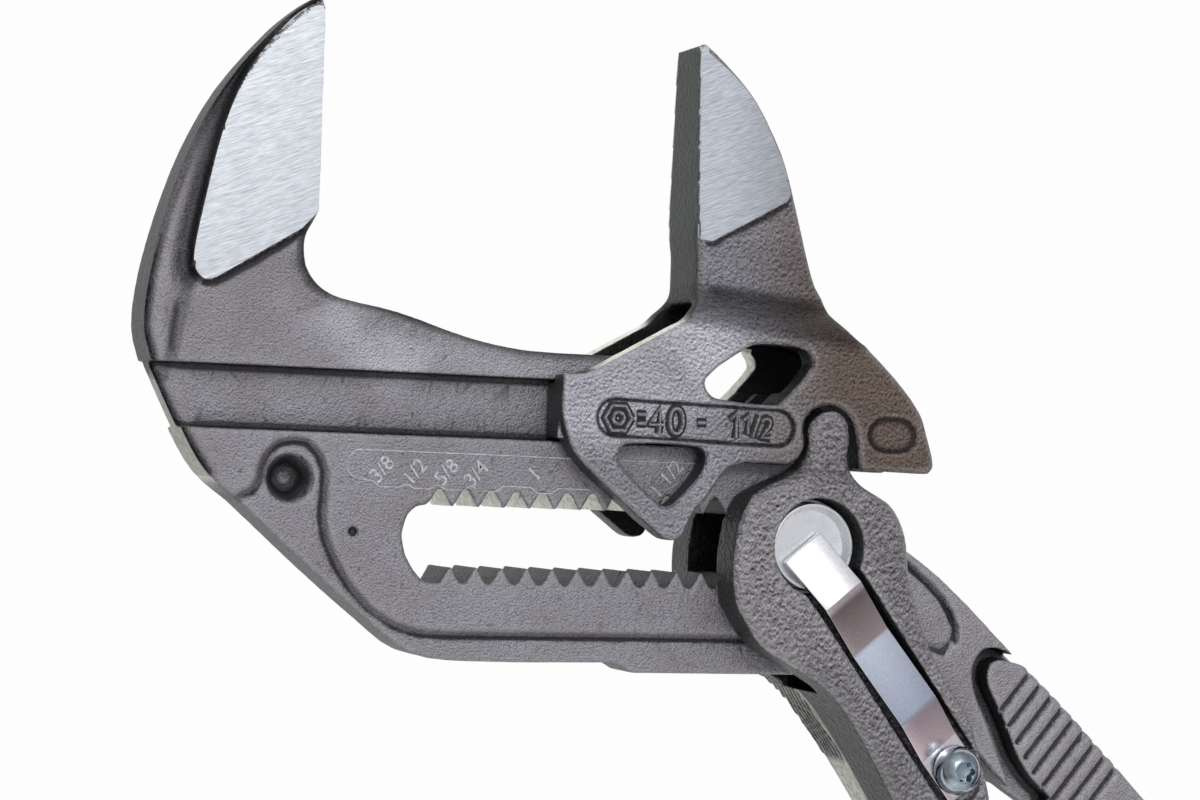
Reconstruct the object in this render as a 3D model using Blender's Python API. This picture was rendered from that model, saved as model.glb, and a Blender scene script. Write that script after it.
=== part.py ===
# Adjustable pliers with parallel jaws, lying flat.
# X runs along the slot away from the fixed jaw, Y up the jaws and Z across the tool, from the button side.
# The origin is the middle of the fixed jaw's gripping face. Every size is in metres.
import math

import bmesh
import bpy
from mathutils import Matrix
from mathutils import Vector

# Plan size: the outlines below are written as shares of the opening between the jaws
JAW_OPENING = 0.040
bolt_place_shares = (1.321, -1.036)

# Thicknesses across the tool
SHANK_THICKNESS = 0.0070
JAW_TIP_THICKNESS = 0.0060
SLIDE_HEAD_THICKNESS = 0.0084
CHEEK_GAP = 0.0003
SLIDE_CHEEK_WALL = 0.0030
LEVER_CHEEK_WALL = 0.0050
LEVER_NECK_WALL = 0.0033
LEVER_SEAT_WALL = 0.0025
LEVER_END_WALL = 0.0010
FORGED_EDGE = 0.0003
LEVER_EDGE = 0.0008
WINDOW_EDGE = 0.0004

# Rack slot and the bolt that locks in it
TOOTH_PITCH = 0.00272
TOOTH_DEPTH = 0.00168
SLOT_TIP_GAP = 0.0060
ROOT_FLAT = 0.0006
TIP_FLAT = 0.00018
SLOT_END_GAP = 0.0005
SLOT_END_RADIUS = 0.0020
BOLT_RADIUS = 0.00445
BOLT_TRAVEL = 0.0022
BOLT_NECK_GAP = 0.0003
FLUTE_GAP = 0.00045
HEAD_RISE = 0.0034
DISH_RADIUS = 0.00375
DISH_MOUTH_RADIUS = 0.0042
DISH_DEPTH = 0.0010
BUSH_WALL = 0.0003
BUSH_HEIGHT = 0.0016
RUNNING_GAP = 0.00015
BUTTON_RADIUS = 0.0042
BUTTON_HEIGHT = 0.0023
BUTTON_EDGE = 0.0004
BUTTON_RECESS = 0.0003
PEG_RADIUS = 0.0020
PEG_LENGTH = 0.0013

# Guide channel in the shank and the tongues of the sliding jaw
CHANNEL_WIDTH = 0.0062
CHANNEL_DEPTH = 0.0020
CHANNEL_DROP = 0.0284
TONGUE_GAP = 0.0003

# Lever's room for the fixed handle, and how far it is squeezed
LEVER_SWEEP_GAP = 0.0007
SWEEP_GAP_ANGLE = math.radians(233)
LEVER_SQUEEZE = math.radians(12)

# Ground pads, marks and recesses
PAD_RISE = 0.0003
RIM_STEP = 0.0004
CONE_MOUTH_RADIUS = 0.0027
CONE_FLOOR_RADIUS = 0.0013
CONE_DEPTH = 0.0030
DIMPLE_RADIUS = 0.0005
DIMPLE_DEPTH = 0.0006
CARTOUCHE_DEPTH = 0.0003
CARTOUCHE_HEIGHT = 0.0040
STAMP_RADIUS = 0.0020
STAMP_INSET = 0.0010
PANEL_DEPTH = 0.0004
GROOVE_DEPTH = 0.0026
RIB_STEP = 0.00197
RIB_WIDTH = 0.0006
RIB_DEPTH = 0.0006
RIB_COUNT = 9
RIB_ANGLE = math.radians(50)

# Leaf spring and its screw
LEAF_WIDTH = 0.0050
LEAF_THICKNESS = 0.0005
LEAF_SEAT_GAP = 0.0003
LEAF_CREST_RISE = 0.0019
LEAF_DIP = 0.0014
LEAF_BACK_RISE = 0.0001
LEAF_SEAT_LENGTH = 0.0030
LEAF_END = 0.0026
POCKET_GAP = 0.0007
SCREW_HEAD_RADIUS = 0.0026
SCREW_HEAD_HEIGHT = 0.0022
SCREW_SHANK_RADIUS = 0.0015
SCREW_HOLE_GAP = 0.0002
LEAF_HOLE_GAP = 0.0004
STAR_RADIUS = 0.0012
STAR_SHARE = 0.72
STAR_DEPTH = 0.0011
STAR_POINTS = 6

# Handles and their sleeves
CORE_HALF_WIDTH = 0.0030
SHOULDER_HALF_WIDTH = 0.0043
SHOULDER_GAP = 0.0003
SLEEVE_WALL = 0.0025
SLEEVE_MOUTH_WALL = 0.0018
SLEEVE_DEPTH_WALL = 0.0020
SLEEVE_END_WALL = 0.0030
SLEEVE_GAP = 0.0003

# Cutters reach past what they cut by this much
OVERRUN = 0.0050
MERGE_DISTANCE = 0.000001

ROUND_SIDES = 48
CURVE_STEPS = 3
PATH_STEPS = 6
SLEEVE_SIDES = 16
SQUARE_SHARE = 0.6
SHARP_ANGLE = math.radians(30)

# Looks: colour, roughness and metallic share
FORGED = ((0.16, 0.15, 0.16), 0.45, 0.9)
ZINC_PLATED = ((0.62, 0.66, 0.68), 0.3, 1)
SPRING_STEEL = ((0.7, 0.7, 0.72), 0.2, 1)
DIPPED_SLEEVE = ((0.03, 0.03, 0.035), 0.6, 0)

# Sizes that follow from the ones above
HALF_SHANK = SHANK_THICKNESS / 2
INNER_FACE = HALF_SHANK + CHEEK_GAP
SLIDE_FACE = INNER_FACE + SLIDE_CHEEK_WALL
LEVER_FACE = INNER_FACE + LEVER_CHEEK_WALL
BOLT_X, BOLT_Y = [share * JAW_OPENING for share in bolt_place_shares]
RIB_REACH = 2 * SHOULDER_HALF_WIDTH + OVERRUN
BOLT_AXIS = Vector((BOLT_X, BOLT_Y, 0))
SLOT_ROOT_GAP = SLOT_TIP_GAP + 2 * TOOTH_DEPTH
BOLT_NECK_RADIUS = SLOT_TIP_GAP / 2 - BOLT_NECK_GAP
BUSH_BORE = BOLT_RADIUS + RUNNING_GAP
BUSH_RADIUS = BUSH_BORE + BUSH_WALL
LEVER_BORE = BUSH_RADIUS + RUNNING_GAP
HEAD_TOP = INNER_FACE + HEAD_RISE
DISH_FLOOR = HEAD_TOP - DISH_DEPTH
BOLT_FOOT = HALF_SHANK + CHEEK_GAP
FLUTE_TOP = BOLT_FOOT + BOLT_TRAVEL - CHEEK_GAP / 2
POCKET_FLOOR = INNER_FACE + BUSH_HEIGHT
CORE_HALF_HEIGHT = HALF_SHANK
BUTTON_INNER = -LEVER_FACE + BUTTON_RECESS + BUTTON_HEIGHT
BUTTON_SEAT = BUTTON_INNER + SLEEVE_GAP

# Plan outlines in shares of the opening; a third number marks a sharp corner
fixed_jaw_shares = [
    (0.000, 0.255, 1), (0.000, -0.247, 1), (-0.010, -0.273), (-0.030, -0.310), (-0.028, -0.378),
    (-0.010, -0.412), (0.022, -0.440), (0.070, -0.458), (0.210, -0.483), (0.395, -0.537),
    (0.528, -0.560), (0.635, -0.565, 1), (0.938, -0.565, 1), (1.550, -0.985), (1.748, -1.115),
    (1.985, -1.325), (2.123, -1.445), (2.275, -1.590),
]
fixed_root_shares = [
    (2.250, -1.873), (2.075, -1.740), (1.975, -1.675), (1.890, -1.600), (1.825, -1.525),
    (1.762, -1.460), (1.650, -1.405), (1.500, -1.375, 1),
]
fixed_lower_shares = [
    (0.870, -1.373, 1), (0.825, -1.347, 1), (0.420, -1.347), (0.277, -1.328), (0.175, -1.257),
    (0.015, -1.127), (-0.163, -0.972), (-0.255, -0.897), (-0.315, -0.805), (-0.398, -0.640, 1),
    (-0.422, -0.550), (-0.412, -0.425), (-0.380, -0.280), (-0.323, -0.110), (-0.242, 0.048),
    (-0.120, 0.200), (-0.048, 0.265), (-0.013, 0.283),
]
fixed_pad_shares = [
    (-0.005, 0.250, 1), (-0.005, -0.247, 1), (-0.045, -0.292, 1), (-0.255, -0.425), (-0.283, -0.430),
    (-0.305, -0.408), (-0.310, -0.365), (-0.290, -0.250), (-0.247, -0.060), (-0.193, 0.077),
    (-0.125, 0.175), (-0.065, 0.240), (-0.020, 0.265),
]
rim_shares = [
    (-0.215, -0.975, 1), (-0.138, -0.935), (-0.123, -0.910), (-0.120, -0.878), (-0.102, -0.843),
    (-0.077, -0.820), (-0.045, -0.812), (-0.010, -0.815), (0.020, -0.843), (0.037, -0.882),
    (0.037, -0.943), (0.035, -0.993), (0.045, -1.047), (0.072, -1.107), (0.110, -1.165),
    (0.163, -1.220), (0.227, -1.260), (0.290, -1.278), (0.358, -1.282, 1), (1.450, -1.282, 1),
    (1.450, -1.500, 1), (0.000, -1.500, 1),
]
sliding_head_shares = [
    (1.000, 0.250, 1), (1.000, -0.270, 1), (1.005, -0.280, 1), (1.005, -0.410), (1.010, -0.500, 1),
    (1.100, -0.550, 1), (1.300, -0.550, 1), (1.390, -0.450), (1.340, -0.358), (1.307, -0.258),
    (1.268, -0.110), (1.238, -0.017), (1.167, 0.113), (1.107, 0.180), (1.020, 0.255),
]
sliding_pad_shares = [
    (1.005, 0.240, 1), (1.005, -0.247, 1), (1.038, -0.258), (1.243, -0.143), (1.257, -0.123),
    (1.252, -0.085), (1.228, -0.020), (1.157, 0.110), (1.097, 0.175), (1.022, 0.240),
]
cheek_shares = [
    (1.005, -0.392, 1), (0.955, -0.467, 1), (0.725, -0.595), (0.682, -0.615, 1), (0.625, -0.620, 1),
    (0.622, -0.708), (0.635, -0.760), (0.655, -0.810), (0.708, -0.865), (0.900, -1.018),
    (0.932, -1.030), (0.960, -1.018), (0.982, -0.970), (1.030, -0.910), (1.075, -0.847),
    (1.130, -0.825, 1), (1.657, -0.838, 1), (1.670, -0.815), (1.650, -0.742), (1.625, -0.677),
    (1.550, -0.590), (1.445, -0.495), (1.385, -0.430, 1),
]
window_shares = [
    (1.012, -0.615), (1.123, -0.532), (1.160, -0.520), (1.275, -0.525), (1.302, -0.542),
    (1.307, -0.570), (1.232, -0.657), (1.210, -0.672), (1.068, -0.667), (1.025, -0.655),
]
triangle_shares = [
    (0.780, -0.812), (0.800, -0.790), (0.995, -0.790), (1.018, -0.812), (1.005, -0.855),
    (0.938, -0.930), (0.912, -0.943), (0.887, -0.932), (0.790, -0.845),
]
notch_shares = [
    (1.252, -0.828, 1), (1.280, -0.807), (1.295, -0.775), (1.290, -0.725), (1.307, -0.690),
    (1.343, -0.672), (1.382, -0.672), (1.422, -0.698), (1.440, -0.740), (1.448, -0.790),
    (1.453, -0.840, 1), (1.453, -0.900, 1), (1.252, -0.900, 1),
]
saddle_shares = [
    (0.250, -1.500, 1), (0.250, -0.422, 1), (1.022, -0.422, 1), (1.170, -0.467), (1.355, -0.525),
    (1.500, -0.555, 1), (2.000, -0.555, 1), (2.000, -1.500, 1),
]
lever_front_shares = [
    (1.363, -0.682), (1.323, -0.700), (1.302, -0.733), (1.305, -0.772), (1.292, -0.812),
    (1.257, -0.843), (1.170, -0.880), (1.123, -0.920), (1.105, -1.010), (1.097, -1.083),
    (1.103, -1.155), (1.125, -1.228), (1.165, -1.288), (1.228, -1.328), (1.315, -1.373),
    (1.370, -1.407), (1.430, -1.465, 1), (1.505, -1.565), (1.575, -1.670), (1.663, -1.815),
    (1.750, -1.990),
]
lever_back_shares = [
    (1.932, -1.930), (1.905, -1.800), (1.882, -1.675), (1.837, -1.555), (1.807, -1.480),
    (1.727, -1.382), (1.677, -1.307), (1.640, -1.240), (1.595, -1.123), (1.583, -1.073),
    (1.570, -0.997), (1.535, -0.932), (1.478, -0.890), (1.443, -0.870), (1.425, -0.830),
    (1.422, -0.765), (1.415, -0.715), (1.395, -0.690),
]
box_mouth_shares = [(0.750, -0.250, 1), (0.750, -1.430, 1)]
box_far_shares = [(3.000, -2.250, 1), (3.000, -0.250, 1)]
slot_left_shares = [
    (0.307, -0.961, 1), (0.280, -0.961), (0.255, -0.985), (0.242, -1.035), (0.253, -1.083),
    (0.275, -1.120), (0.297, -1.147),
]
panel_shares = [
    (1.375, -0.875, 1), (1.673, -1.097), (1.727, -1.145), (1.775, -1.190), (1.795, -1.230),
    (1.792, -1.278), (1.762, -1.323, 1), (1.500, -1.250, 1),
]
groove_shares = [
    (2.025, -1.333, 1), (1.985, -1.323), (1.952, -1.307), (1.913, -1.297), (1.882, -1.302),
    (1.863, -1.320), (1.850, -1.350), (1.850, -1.385), (1.863, -1.432), (1.893, -1.490),
    (1.932, -1.578), (1.952, -1.623), (1.980, -1.693, 1), (2.070, -1.765, 1), (2.100, -1.700, 1),
    (2.035, -1.643), (1.990, -1.580), (1.958, -1.510), (1.930, -1.458), (1.898, -1.400),
    (1.893, -1.363), (1.905, -1.337), (1.930, -1.329), (1.960, -1.333), (1.990, -1.340),
    (2.035, -1.355, 1),
]
fixed_path_shares = [
    (2.337, -1.800), (2.700, -2.140), (3.050, -2.485), (3.350, -2.850),
]
lever_path_shares = [
    (1.930, -2.155), (2.150, -2.575), (2.350, -2.975), (2.525, -3.362),
]
screw_shares = [(1.765, -1.615)]
leaf_tip_shares = [(1.292, -1.038)]
cone_shares = [(-0.048, -0.903)]
dimple_shares = [(0.115, -1.030)]
cartouche_shares = [(0.765, -0.724), (1.215, -0.734)]
stamp_shares = [(1.545, -0.740)]
rib_line_shares = [(1.935, -1.472), (2.095, -1.720)]
taper_start_shares = [(0.000, -0.247)]
tip_shares = [(0.000, 0.283)]
plateau_shares = [(0.985, -0.450), (1.413, -0.480)]
plateau_fade_share = 0.065
neck_fade_shares = (0.160, 0.215)
tongue_shares = [(0.625, 0), (1.430, 0)]
handle_fade_shares = (0.175, 0.685, 1.000, 1.240, 1.262)
leaf_bend_shares = (0.273, 0.581, 0.789, 1.000)
dome_shares = [(0.30, 1.00), (0.62, 0.90), (0.85, 0.74), (0.97, 0.52), (1.00, 0.46)]
end_shares = [(0.45, 0.93), (0.85, 0.74), (1.00, 0.45)]


def place(shares):
    # Plan shares become points in metres, each with its corner mark.
    return [(share[0] * JAW_OPENING, share[1] * JAW_OPENING, len(share) > 2) for share in shares]


def spot(shares):
    x, y = shares[0]
    return Vector((x * JAW_OPENING, y * JAW_OPENING, 0))


def trace(points):
    # A smooth closed outline through the points, straight between two sharp corners.
    outline = []
    count = len(points)
    for index in range(count):
        start = Vector(points[index][:2])
        end = Vector(points[(index + 1) % count][:2])
        span = end - start
        start_sharp = points[index][2]
        end_sharp = points[(index + 1) % count][2]
        if start_sharp and end_sharp:
            outline.append(start)
            continue
        before = Vector(points[index - 1][:2])
        after = Vector(points[(index + 2) % count][:2])
        leave = span if start_sharp else (end - before).normalized() * span.length
        arrive = span if end_sharp else (after - start).normalized() * span.length
        for step in range(CURVE_STEPS):
            t = step / CURVE_STEPS
            outline.append(
                start * (2 * t**3 - 3 * t**2 + 1)
                + leave * (t**3 - 2 * t**2 + t)
                + end * (3 * t**2 - 2 * t**3)
                + arrive * (t**3 - t**2)
            )
    return outline


def follow(shares):
    # Points along a handle's centre line, each with the normal on its upper right side.
    knots = [Vector((x * JAW_OPENING, y * JAW_OPENING)) for x, y in shares]
    places = []
    for index in range(len(knots) - 1):
        start = knots[index]
        end = knots[index + 1]
        leave = (end - knots[index - 1]) / 2 if index else end - start
        arrive = (knots[index + 2] - start) / 2 if index + 2 < len(knots) else end - start
        last = index + 2 == len(knots)
        for step in range(PATH_STEPS + 1 if last else PATH_STEPS):
            t = step / PATH_STEPS
            point = start * (2 * t**3 - 3 * t**2 + 1) + leave * (t**3 - 2 * t**2 + t)
            point += end * (3 * t**2 - 2 * t**3) + arrive * (t**3 - t**2)
            along = start * (6 * t**2 - 6 * t) + leave * (3 * t**2 - 4 * t + 1)
            along += end * (6 * t - 6 * t**2) + arrive * (3 * t**2 - 2 * t)
            along.normalize()
            places.append((point, Vector((-along.y, along.x)), along))
    return places


def add_object(name, shape):
    bmesh.ops.recalc_face_normals(shape, faces=shape.faces)
    mesh = bpy.data.meshes.new(name)
    shape.to_mesh(mesh)
    shape.free()
    item = bpy.data.objects.new(name, mesh)
    bpy.context.scene.collection.objects.link(item)
    return item


def prism(name, outline, low, high, edge=0):
    # An outline pulled up into a solid, with its rims chamfered by the edge size.
    shape = bmesh.new()
    rings = [[shape.verts.new((point[0], point[1], z)) for point in outline] for z in (low, high)]
    close_rings(shape, rings)
    bmesh.ops.recalc_face_normals(shape, faces=shape.faces)
    if edge:
        rims = [line for line in shape.edges if is_level(line)]
        bmesh.ops.bevel(shape, geom=rims, offset=edge, segments=1, affect="EDGES", clamp_overlap=True)
    return add_object(name, shape)


def is_level(line):
    return abs(line.verts[0].co.z - line.verts[1].co.z) < MERGE_DISTANCE


def window(outline, face):
    # A cutter right through a piece, opened out by a chamfer at both faces.
    points = [Vector(point[:2]) for point in outline]
    shape = bmesh.new()
    rings = []
    outside = face + WINDOW_EDGE
    inside = face - WINDOW_EDGE
    reach = WINDOW_EDGE * 2
    for height, offset in ((-outside, reach), (-inside, 0), (inside, 0), (outside, reach)):
        ring = []
        for index, point in enumerate(points):
            along = points[(index + 1) % len(points)] - points[index - 1]
            outward = Vector((along.y, -along.x)).normalized() * turning(points)
            corner = point + outward * offset
            ring.append(shape.verts.new((corner.x, corner.y, height)))
        rings.append(ring)
    close_rings(shape, rings)
    return add_object("cutter", shape)


def turning(points):
    # One for an outline that runs anticlockwise, and minus one for a clockwise one.
    area = sum(points[index - 1].cross(points[index]) for index in range(len(points)))
    return math.copysign(1, area)


def close_rings(shape, rings):
    # Skin between rings of points, and a face over each end.
    for lower, upper in zip(rings, rings[1:]):
        for index in range(len(lower)):
            after = (index + 1) % len(lower)
            shape.faces.new((lower[index], lower[after], upper[after], upper[index]))
    shape.faces.new(rings[0])
    shape.faces.new(rings[-1])


def turned(name, centre, profile, sides=ROUND_SIDES):
    # A solid of revolution about Z from pairs of radius and height, bottom to top.
    shape = bmesh.new()
    rings = []
    for radius, height in profile:
        ring = []
        for side in range(sides):
            angle = 2 * math.pi * side / sides
            x = centre.x + radius * math.cos(angle)
            y = centre.y + radius * math.sin(angle)
            ring.append(shape.verts.new((x, y, height)))
        rings.append(ring)
    close_rings(shape, rings)
    return add_object(name, shape)


def carve(target, tool, operation="DIFFERENCE"):
    # A boolean that is applied at once; the tool is used up.
    step = target.modifiers.new(operation.lower(), "BOOLEAN")
    step.operation = operation
    step.solver = "EXACT"
    step.object = tool
    graph = bpy.context.evaluated_depsgraph_get()
    mesh = bpy.data.meshes.new_from_object(target.evaluated_get(graph))
    target.modifiers.clear()
    target.data = mesh
    bpy.data.objects.remove(tool)


def cut_both_faces(target, outline, low, high):
    carve(target, prism("cutter", outline, low, high))
    carve(target, prism("cutter", outline, -high, -low))


def taper(item, start, direction, stations):
    # Heights are scaled by a factor that changes with the distance along the direction.
    shape = bmesh.new()
    shape.from_mesh(item.data)
    for distance, _ in stations:
        geometry = shape.verts[:] + shape.edges[:] + shape.faces[:]
        station = start + direction * distance
        bmesh.ops.bisect_plane(
            shape, geom=geometry, dist=MERGE_DISTANCE, plane_co=station, plane_no=direction
        )
    for vertex in shape.verts:
        distance = (vertex.co - start).dot(direction)
        factor = stations[0][1]
        for (near, near_factor), (far, far_factor) in zip(stations, stations[1:]):
            if distance >= far:
                factor = far_factor
            elif distance > near:
                factor = near_factor + (far_factor - near_factor) * (distance - near) / (far - near)
        vertex.co.z *= factor
    shape.to_mesh(item.data)
    shape.free()


def finish(item, look, pivot=None):
    # Material, smooth round faces and the origin on the joint's axis.
    if pivot is not None:
        item.data.transform(Matrix.Translation(-pivot))
        item.location = pivot
    colour, roughness, metallic = look
    material = bpy.data.materials.new(item.name)
    material.use_nodes = True
    shader = material.node_tree.nodes["Principled BSDF"]
    shader.inputs["Base Color"].default_value = (*colour, 1)
    shader.inputs["Roughness"].default_value = roughness
    shader.inputs["Metallic"].default_value = metallic
    item.data.materials.clear()
    item.data.materials.append(material)
    item.data.shade_smooth()
    item.data.set_sharp_from_angle(angle=SHARP_ANGLE)


def handle_outline(path, half_width):
    right = [(*(point + normal * half_width), True) for point, normal, _ in path]
    left = [(*(point - normal * half_width), True) for point, normal, _ in path]
    return right + left[::-1]


def with_shoulders(path):
    # The bare handle's shoulders and the narrower core that the sleeve covers.
    point, normal, _ = path[0]
    right = (*(point + normal * SHOULDER_HALF_WIDTH), True)
    left = (*(point - normal * SHOULDER_HALF_WIDTH), True)
    return [right, *handle_outline(path, CORE_HALF_WIDTH), left]


def rack_outline():
    # The slot with its two facing rows of teeth, in phase with the bolt.
    left_end = [Vector(point[:2]) for point in place(slot_left_shares)]
    teeth = int((BOLT_X - left_end[0].x) / TOOTH_PITCH)
    upper = []
    for number in range(-teeth, 2):
        root = BOLT_X + (number - 1 / 2) * TOOTH_PITCH
        upper.append((root - ROOT_FLAT / 2, SLOT_ROOT_GAP / 2))
        upper.append((root + ROOT_FLAT / 2, SLOT_ROOT_GAP / 2))
        if number < 1:
            tip = root + TOOTH_PITCH / 2
            upper.append((tip - TIP_FLAT / 2, SLOT_TIP_GAP / 2))
            upper.append((tip + TIP_FLAT / 2, SLOT_TIP_GAP / 2))
    end_x = BOLT_X + BOLT_RADIUS + SLOT_END_GAP - SLOT_END_RADIUS
    end_y = SLOT_ROOT_GAP / 2 - SLOT_END_RADIUS
    for step in range(CURVE_STEPS + 1):
        angle = math.pi / 2 * (1 - step / CURVE_STEPS)
        upper.append((end_x + SLOT_END_RADIUS * math.cos(angle), end_y + SLOT_END_RADIUS * math.sin(angle)))
    outline = [Vector((x, BOLT_Y + y)) for x, y in upper]
    outline += [Vector((x, BOLT_Y - y)) for x, y in reversed(upper)]
    return outline + left_end[::-1]


def make_fixed_jaw():
    path = follow(fixed_path_shares)
    points = place(fixed_jaw_shares) + with_shoulders(path)
    points += place(fixed_root_shares) + place(fixed_lower_shares)
    jaw = prism("fixed_jaw", trace(points), -HALF_SHANK, HALF_SHANK, FORGED_EDGE)
    reach = spot(tip_shares).y - spot(taper_start_shares).y
    thinning = [(0, 1), (reach, JAW_TIP_THICKNESS / SHANK_THICKNESS)]
    up = Vector((0, 1, 0))
    taper(jaw, spot(taper_start_shares), up, thinning)
    pad_face = HALF_SHANK + PAD_RISE
    pad = prism("pad", trace(place(fixed_pad_shares)), -pad_face, pad_face, PAD_RISE)
    taper(pad, spot(taper_start_shares), up, thinning)
    carve(jaw, pad, "UNION")
    cut_both_faces(jaw, trace(place(rim_shares)), HALF_SHANK - RIM_STEP, HALF_SHANK + OVERRUN)
    channel_low = -CHANNEL_DROP - CHANNEL_WIDTH / 2
    channel_high = -CHANNEL_DROP + CHANNEL_WIDTH / 2
    channel = [
        (-JAW_OPENING, channel_low),
        (BOLT_X, channel_low),
        (BOLT_X, channel_high),
        (-JAW_OPENING, channel_high),
    ]
    cut_both_faces(jaw, channel, HALF_SHANK - CHANNEL_DEPTH, HALF_SHANK + OVERRUN)
    carve(jaw, prism("cutter", rack_outline(), -HALF_SHANK - OVERRUN, HALF_SHANK + OVERRUN))
    cut_both_faces(jaw, trace(place(panel_shares)), HALF_SHANK - PANEL_DEPTH, HALF_SHANK + OVERRUN)
    cut_both_faces(jaw, trace(place(groove_shares)), HALF_SHANK - GROOVE_DEPTH, HALF_SHANK + OVERRUN)
    cut_ribs(jaw)
    slope = (CONE_MOUTH_RADIUS - CONE_FLOOR_RADIUS) / CONE_DEPTH
    cone_top = CONE_MOUTH_RADIUS + slope * OVERRUN
    cone = [(CONE_FLOOR_RADIUS, HALF_SHANK - CONE_DEPTH), (cone_top, HALF_SHANK + OVERRUN)]
    carve(jaw, turned("cutter", spot(cone_shares), cone, ROUND_SIDES // 2))
    dimple = [(DIMPLE_RADIUS, HALF_SHANK - DIMPLE_DEPTH), (DIMPLE_RADIUS, HALF_SHANK + OVERRUN)]
    carve(jaw, turned("cutter", spot(dimple_shares), dimple, ROUND_SIDES // 4))
    finish(jaw, FORGED)


def cut_ribs(jaw):
    # Grooves across the thumb rest, from the deep groove to the handle's outer edge.
    first, last = [Vector((x * JAW_OPENING, y * JAW_OPENING)) for x, y in rib_line_shares]
    step = (last - first).normalized() * RIB_STEP
    across = Vector((math.cos(RIB_ANGLE), math.sin(RIB_ANGLE)))
    half = Vector((across.y, -across.x)) * RIB_WIDTH / 2
    for number in range(RIB_COUNT):
        near = first + step * number
        far = near + across * RIB_REACH
        groove = [near - half, far - half, far + half, near + half]
        cut_both_faces(jaw, groove, HALF_SHANK - RIB_DEPTH, HALF_SHANK + OVERRUN)


def make_sliding_jaw():
    half_head = SLIDE_HEAD_THICKNESS / 2
    head = prism("sliding_jaw", trace(place(sliding_head_shares)), -half_head, half_head, FORGED_EDGE)
    reach = spot(tip_shares).y - spot(taper_start_shares).y
    thinning = [(0, 1), (reach, JAW_TIP_THICKNESS / SLIDE_HEAD_THICKNESS)]
    up = Vector((0, 1, 0))
    taper(head, spot(taper_start_shares), up, thinning)
    pad_face = half_head + PAD_RISE
    pad = prism("pad", trace(place(sliding_pad_shares)), -pad_face, pad_face, PAD_RISE)
    taper(pad, spot(taper_start_shares), up, thinning)
    carve(head, pad, "UNION")
    cheeks = prism("cheeks", trace(place(cheek_shares)), -SLIDE_FACE, SLIDE_FACE, FORGED_EDGE)
    left, right = [Vector((x * JAW_OPENING, y * JAW_OPENING, 0)) for x, y in plateau_shares]
    away = Vector((left.y - right.y, right.x - left.x, 0)).normalized()
    fade = plateau_fade_share * JAW_OPENING
    taper(cheeks, left, away, [(0, 1), (fade, half_head / SLIDE_FACE)])
    carve(head, cheeks, "UNION")
    saddle = trace(place(saddle_shares))
    carve(head, prism("cutter", saddle, -INNER_FACE, INNER_FACE))
    tongue_low = -CHANNEL_DROP - CHANNEL_WIDTH / 2 + TONGUE_GAP
    tongue_high = -CHANNEL_DROP + CHANNEL_WIDTH / 2 - TONGUE_GAP
    inner = HALF_SHANK - CHANNEL_DEPTH + TONGUE_GAP
    outer = INNER_FACE + SLIDE_CHEEK_WALL / 2
    tongue_left, tongue_right = [x * JAW_OPENING for x, _ in tongue_shares]
    tongue = [
        (tongue_left, tongue_low),
        (tongue_right, tongue_low),
        (tongue_right, tongue_high),
        (tongue_left, tongue_high),
    ]
    carve(head, prism("tongue", tongue, inner, outer), "UNION")
    carve(head, prism("tongue", tongue, -outer, -inner), "UNION")
    through = SLIDE_FACE + OVERRUN
    carve(head, window(trace(place(window_shares)), SLIDE_FACE))
    carve(head, window(trace(place(triangle_shares)), SLIDE_FACE))
    carve(head, window(trace(place(notch_shares)), SLIDE_FACE))
    start, end = [Vector((x * JAW_OPENING, y * JAW_OPENING)) for x, y in cartouche_shares]
    recess_floor = SLIDE_FACE - CARTOUCHE_DEPTH
    carve(head, prism("cutter", stadium(start, end, CARTOUCHE_HEIGHT / 2), recess_floor, through))
    middle = spot(stamp_shares).xy
    inset = Vector((STAMP_INSET, 0))
    stamp = stadium(middle - inset, middle + inset, STAMP_RADIUS)
    carve(head, prism("cutter", stamp, recess_floor, through))
    finish(head, FORGED, Vector((JAW_OPENING, 0, 0)))


def stadium(start, end, radius):
    along = (end - start).normalized()
    across = Vector((-along.y, along.x))
    outline = []
    for centre, sign in ((end, 1), (start, -1)):
        for step in range(PATH_STEPS + 1):
            angle = math.pi * step / PATH_STEPS - math.pi / 2
            outline.append(centre + (along * math.cos(angle) + across * math.sin(angle)) * radius * sign)
    return outline


def turn_about_bolt(point, angle):
    arm = Vector(point[:2]) - BOLT_AXIS.xy
    turned_arm = Matrix.Rotation(angle, 2) @ arm
    return BOLT_AXIS.xy + turned_arm


def lever_box():
    # The room between the cheeks: what the fixed handle's inner edge sweeps when the lever is squeezed.
    gap = Vector((math.cos(SWEEP_GAP_ANGLE), math.sin(SWEEP_GAP_ANGLE))) * LEVER_SWEEP_GAP
    swept = [turn_about_bolt(point, -LEVER_SQUEEZE) + gap for point in reversed(place(fixed_root_shares))]
    mouth = [Vector(point[:2]) for point in place(box_mouth_shares)]
    far = [Vector(point[:2]) for point in place(box_far_shares)]
    return mouth + swept + far


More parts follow.
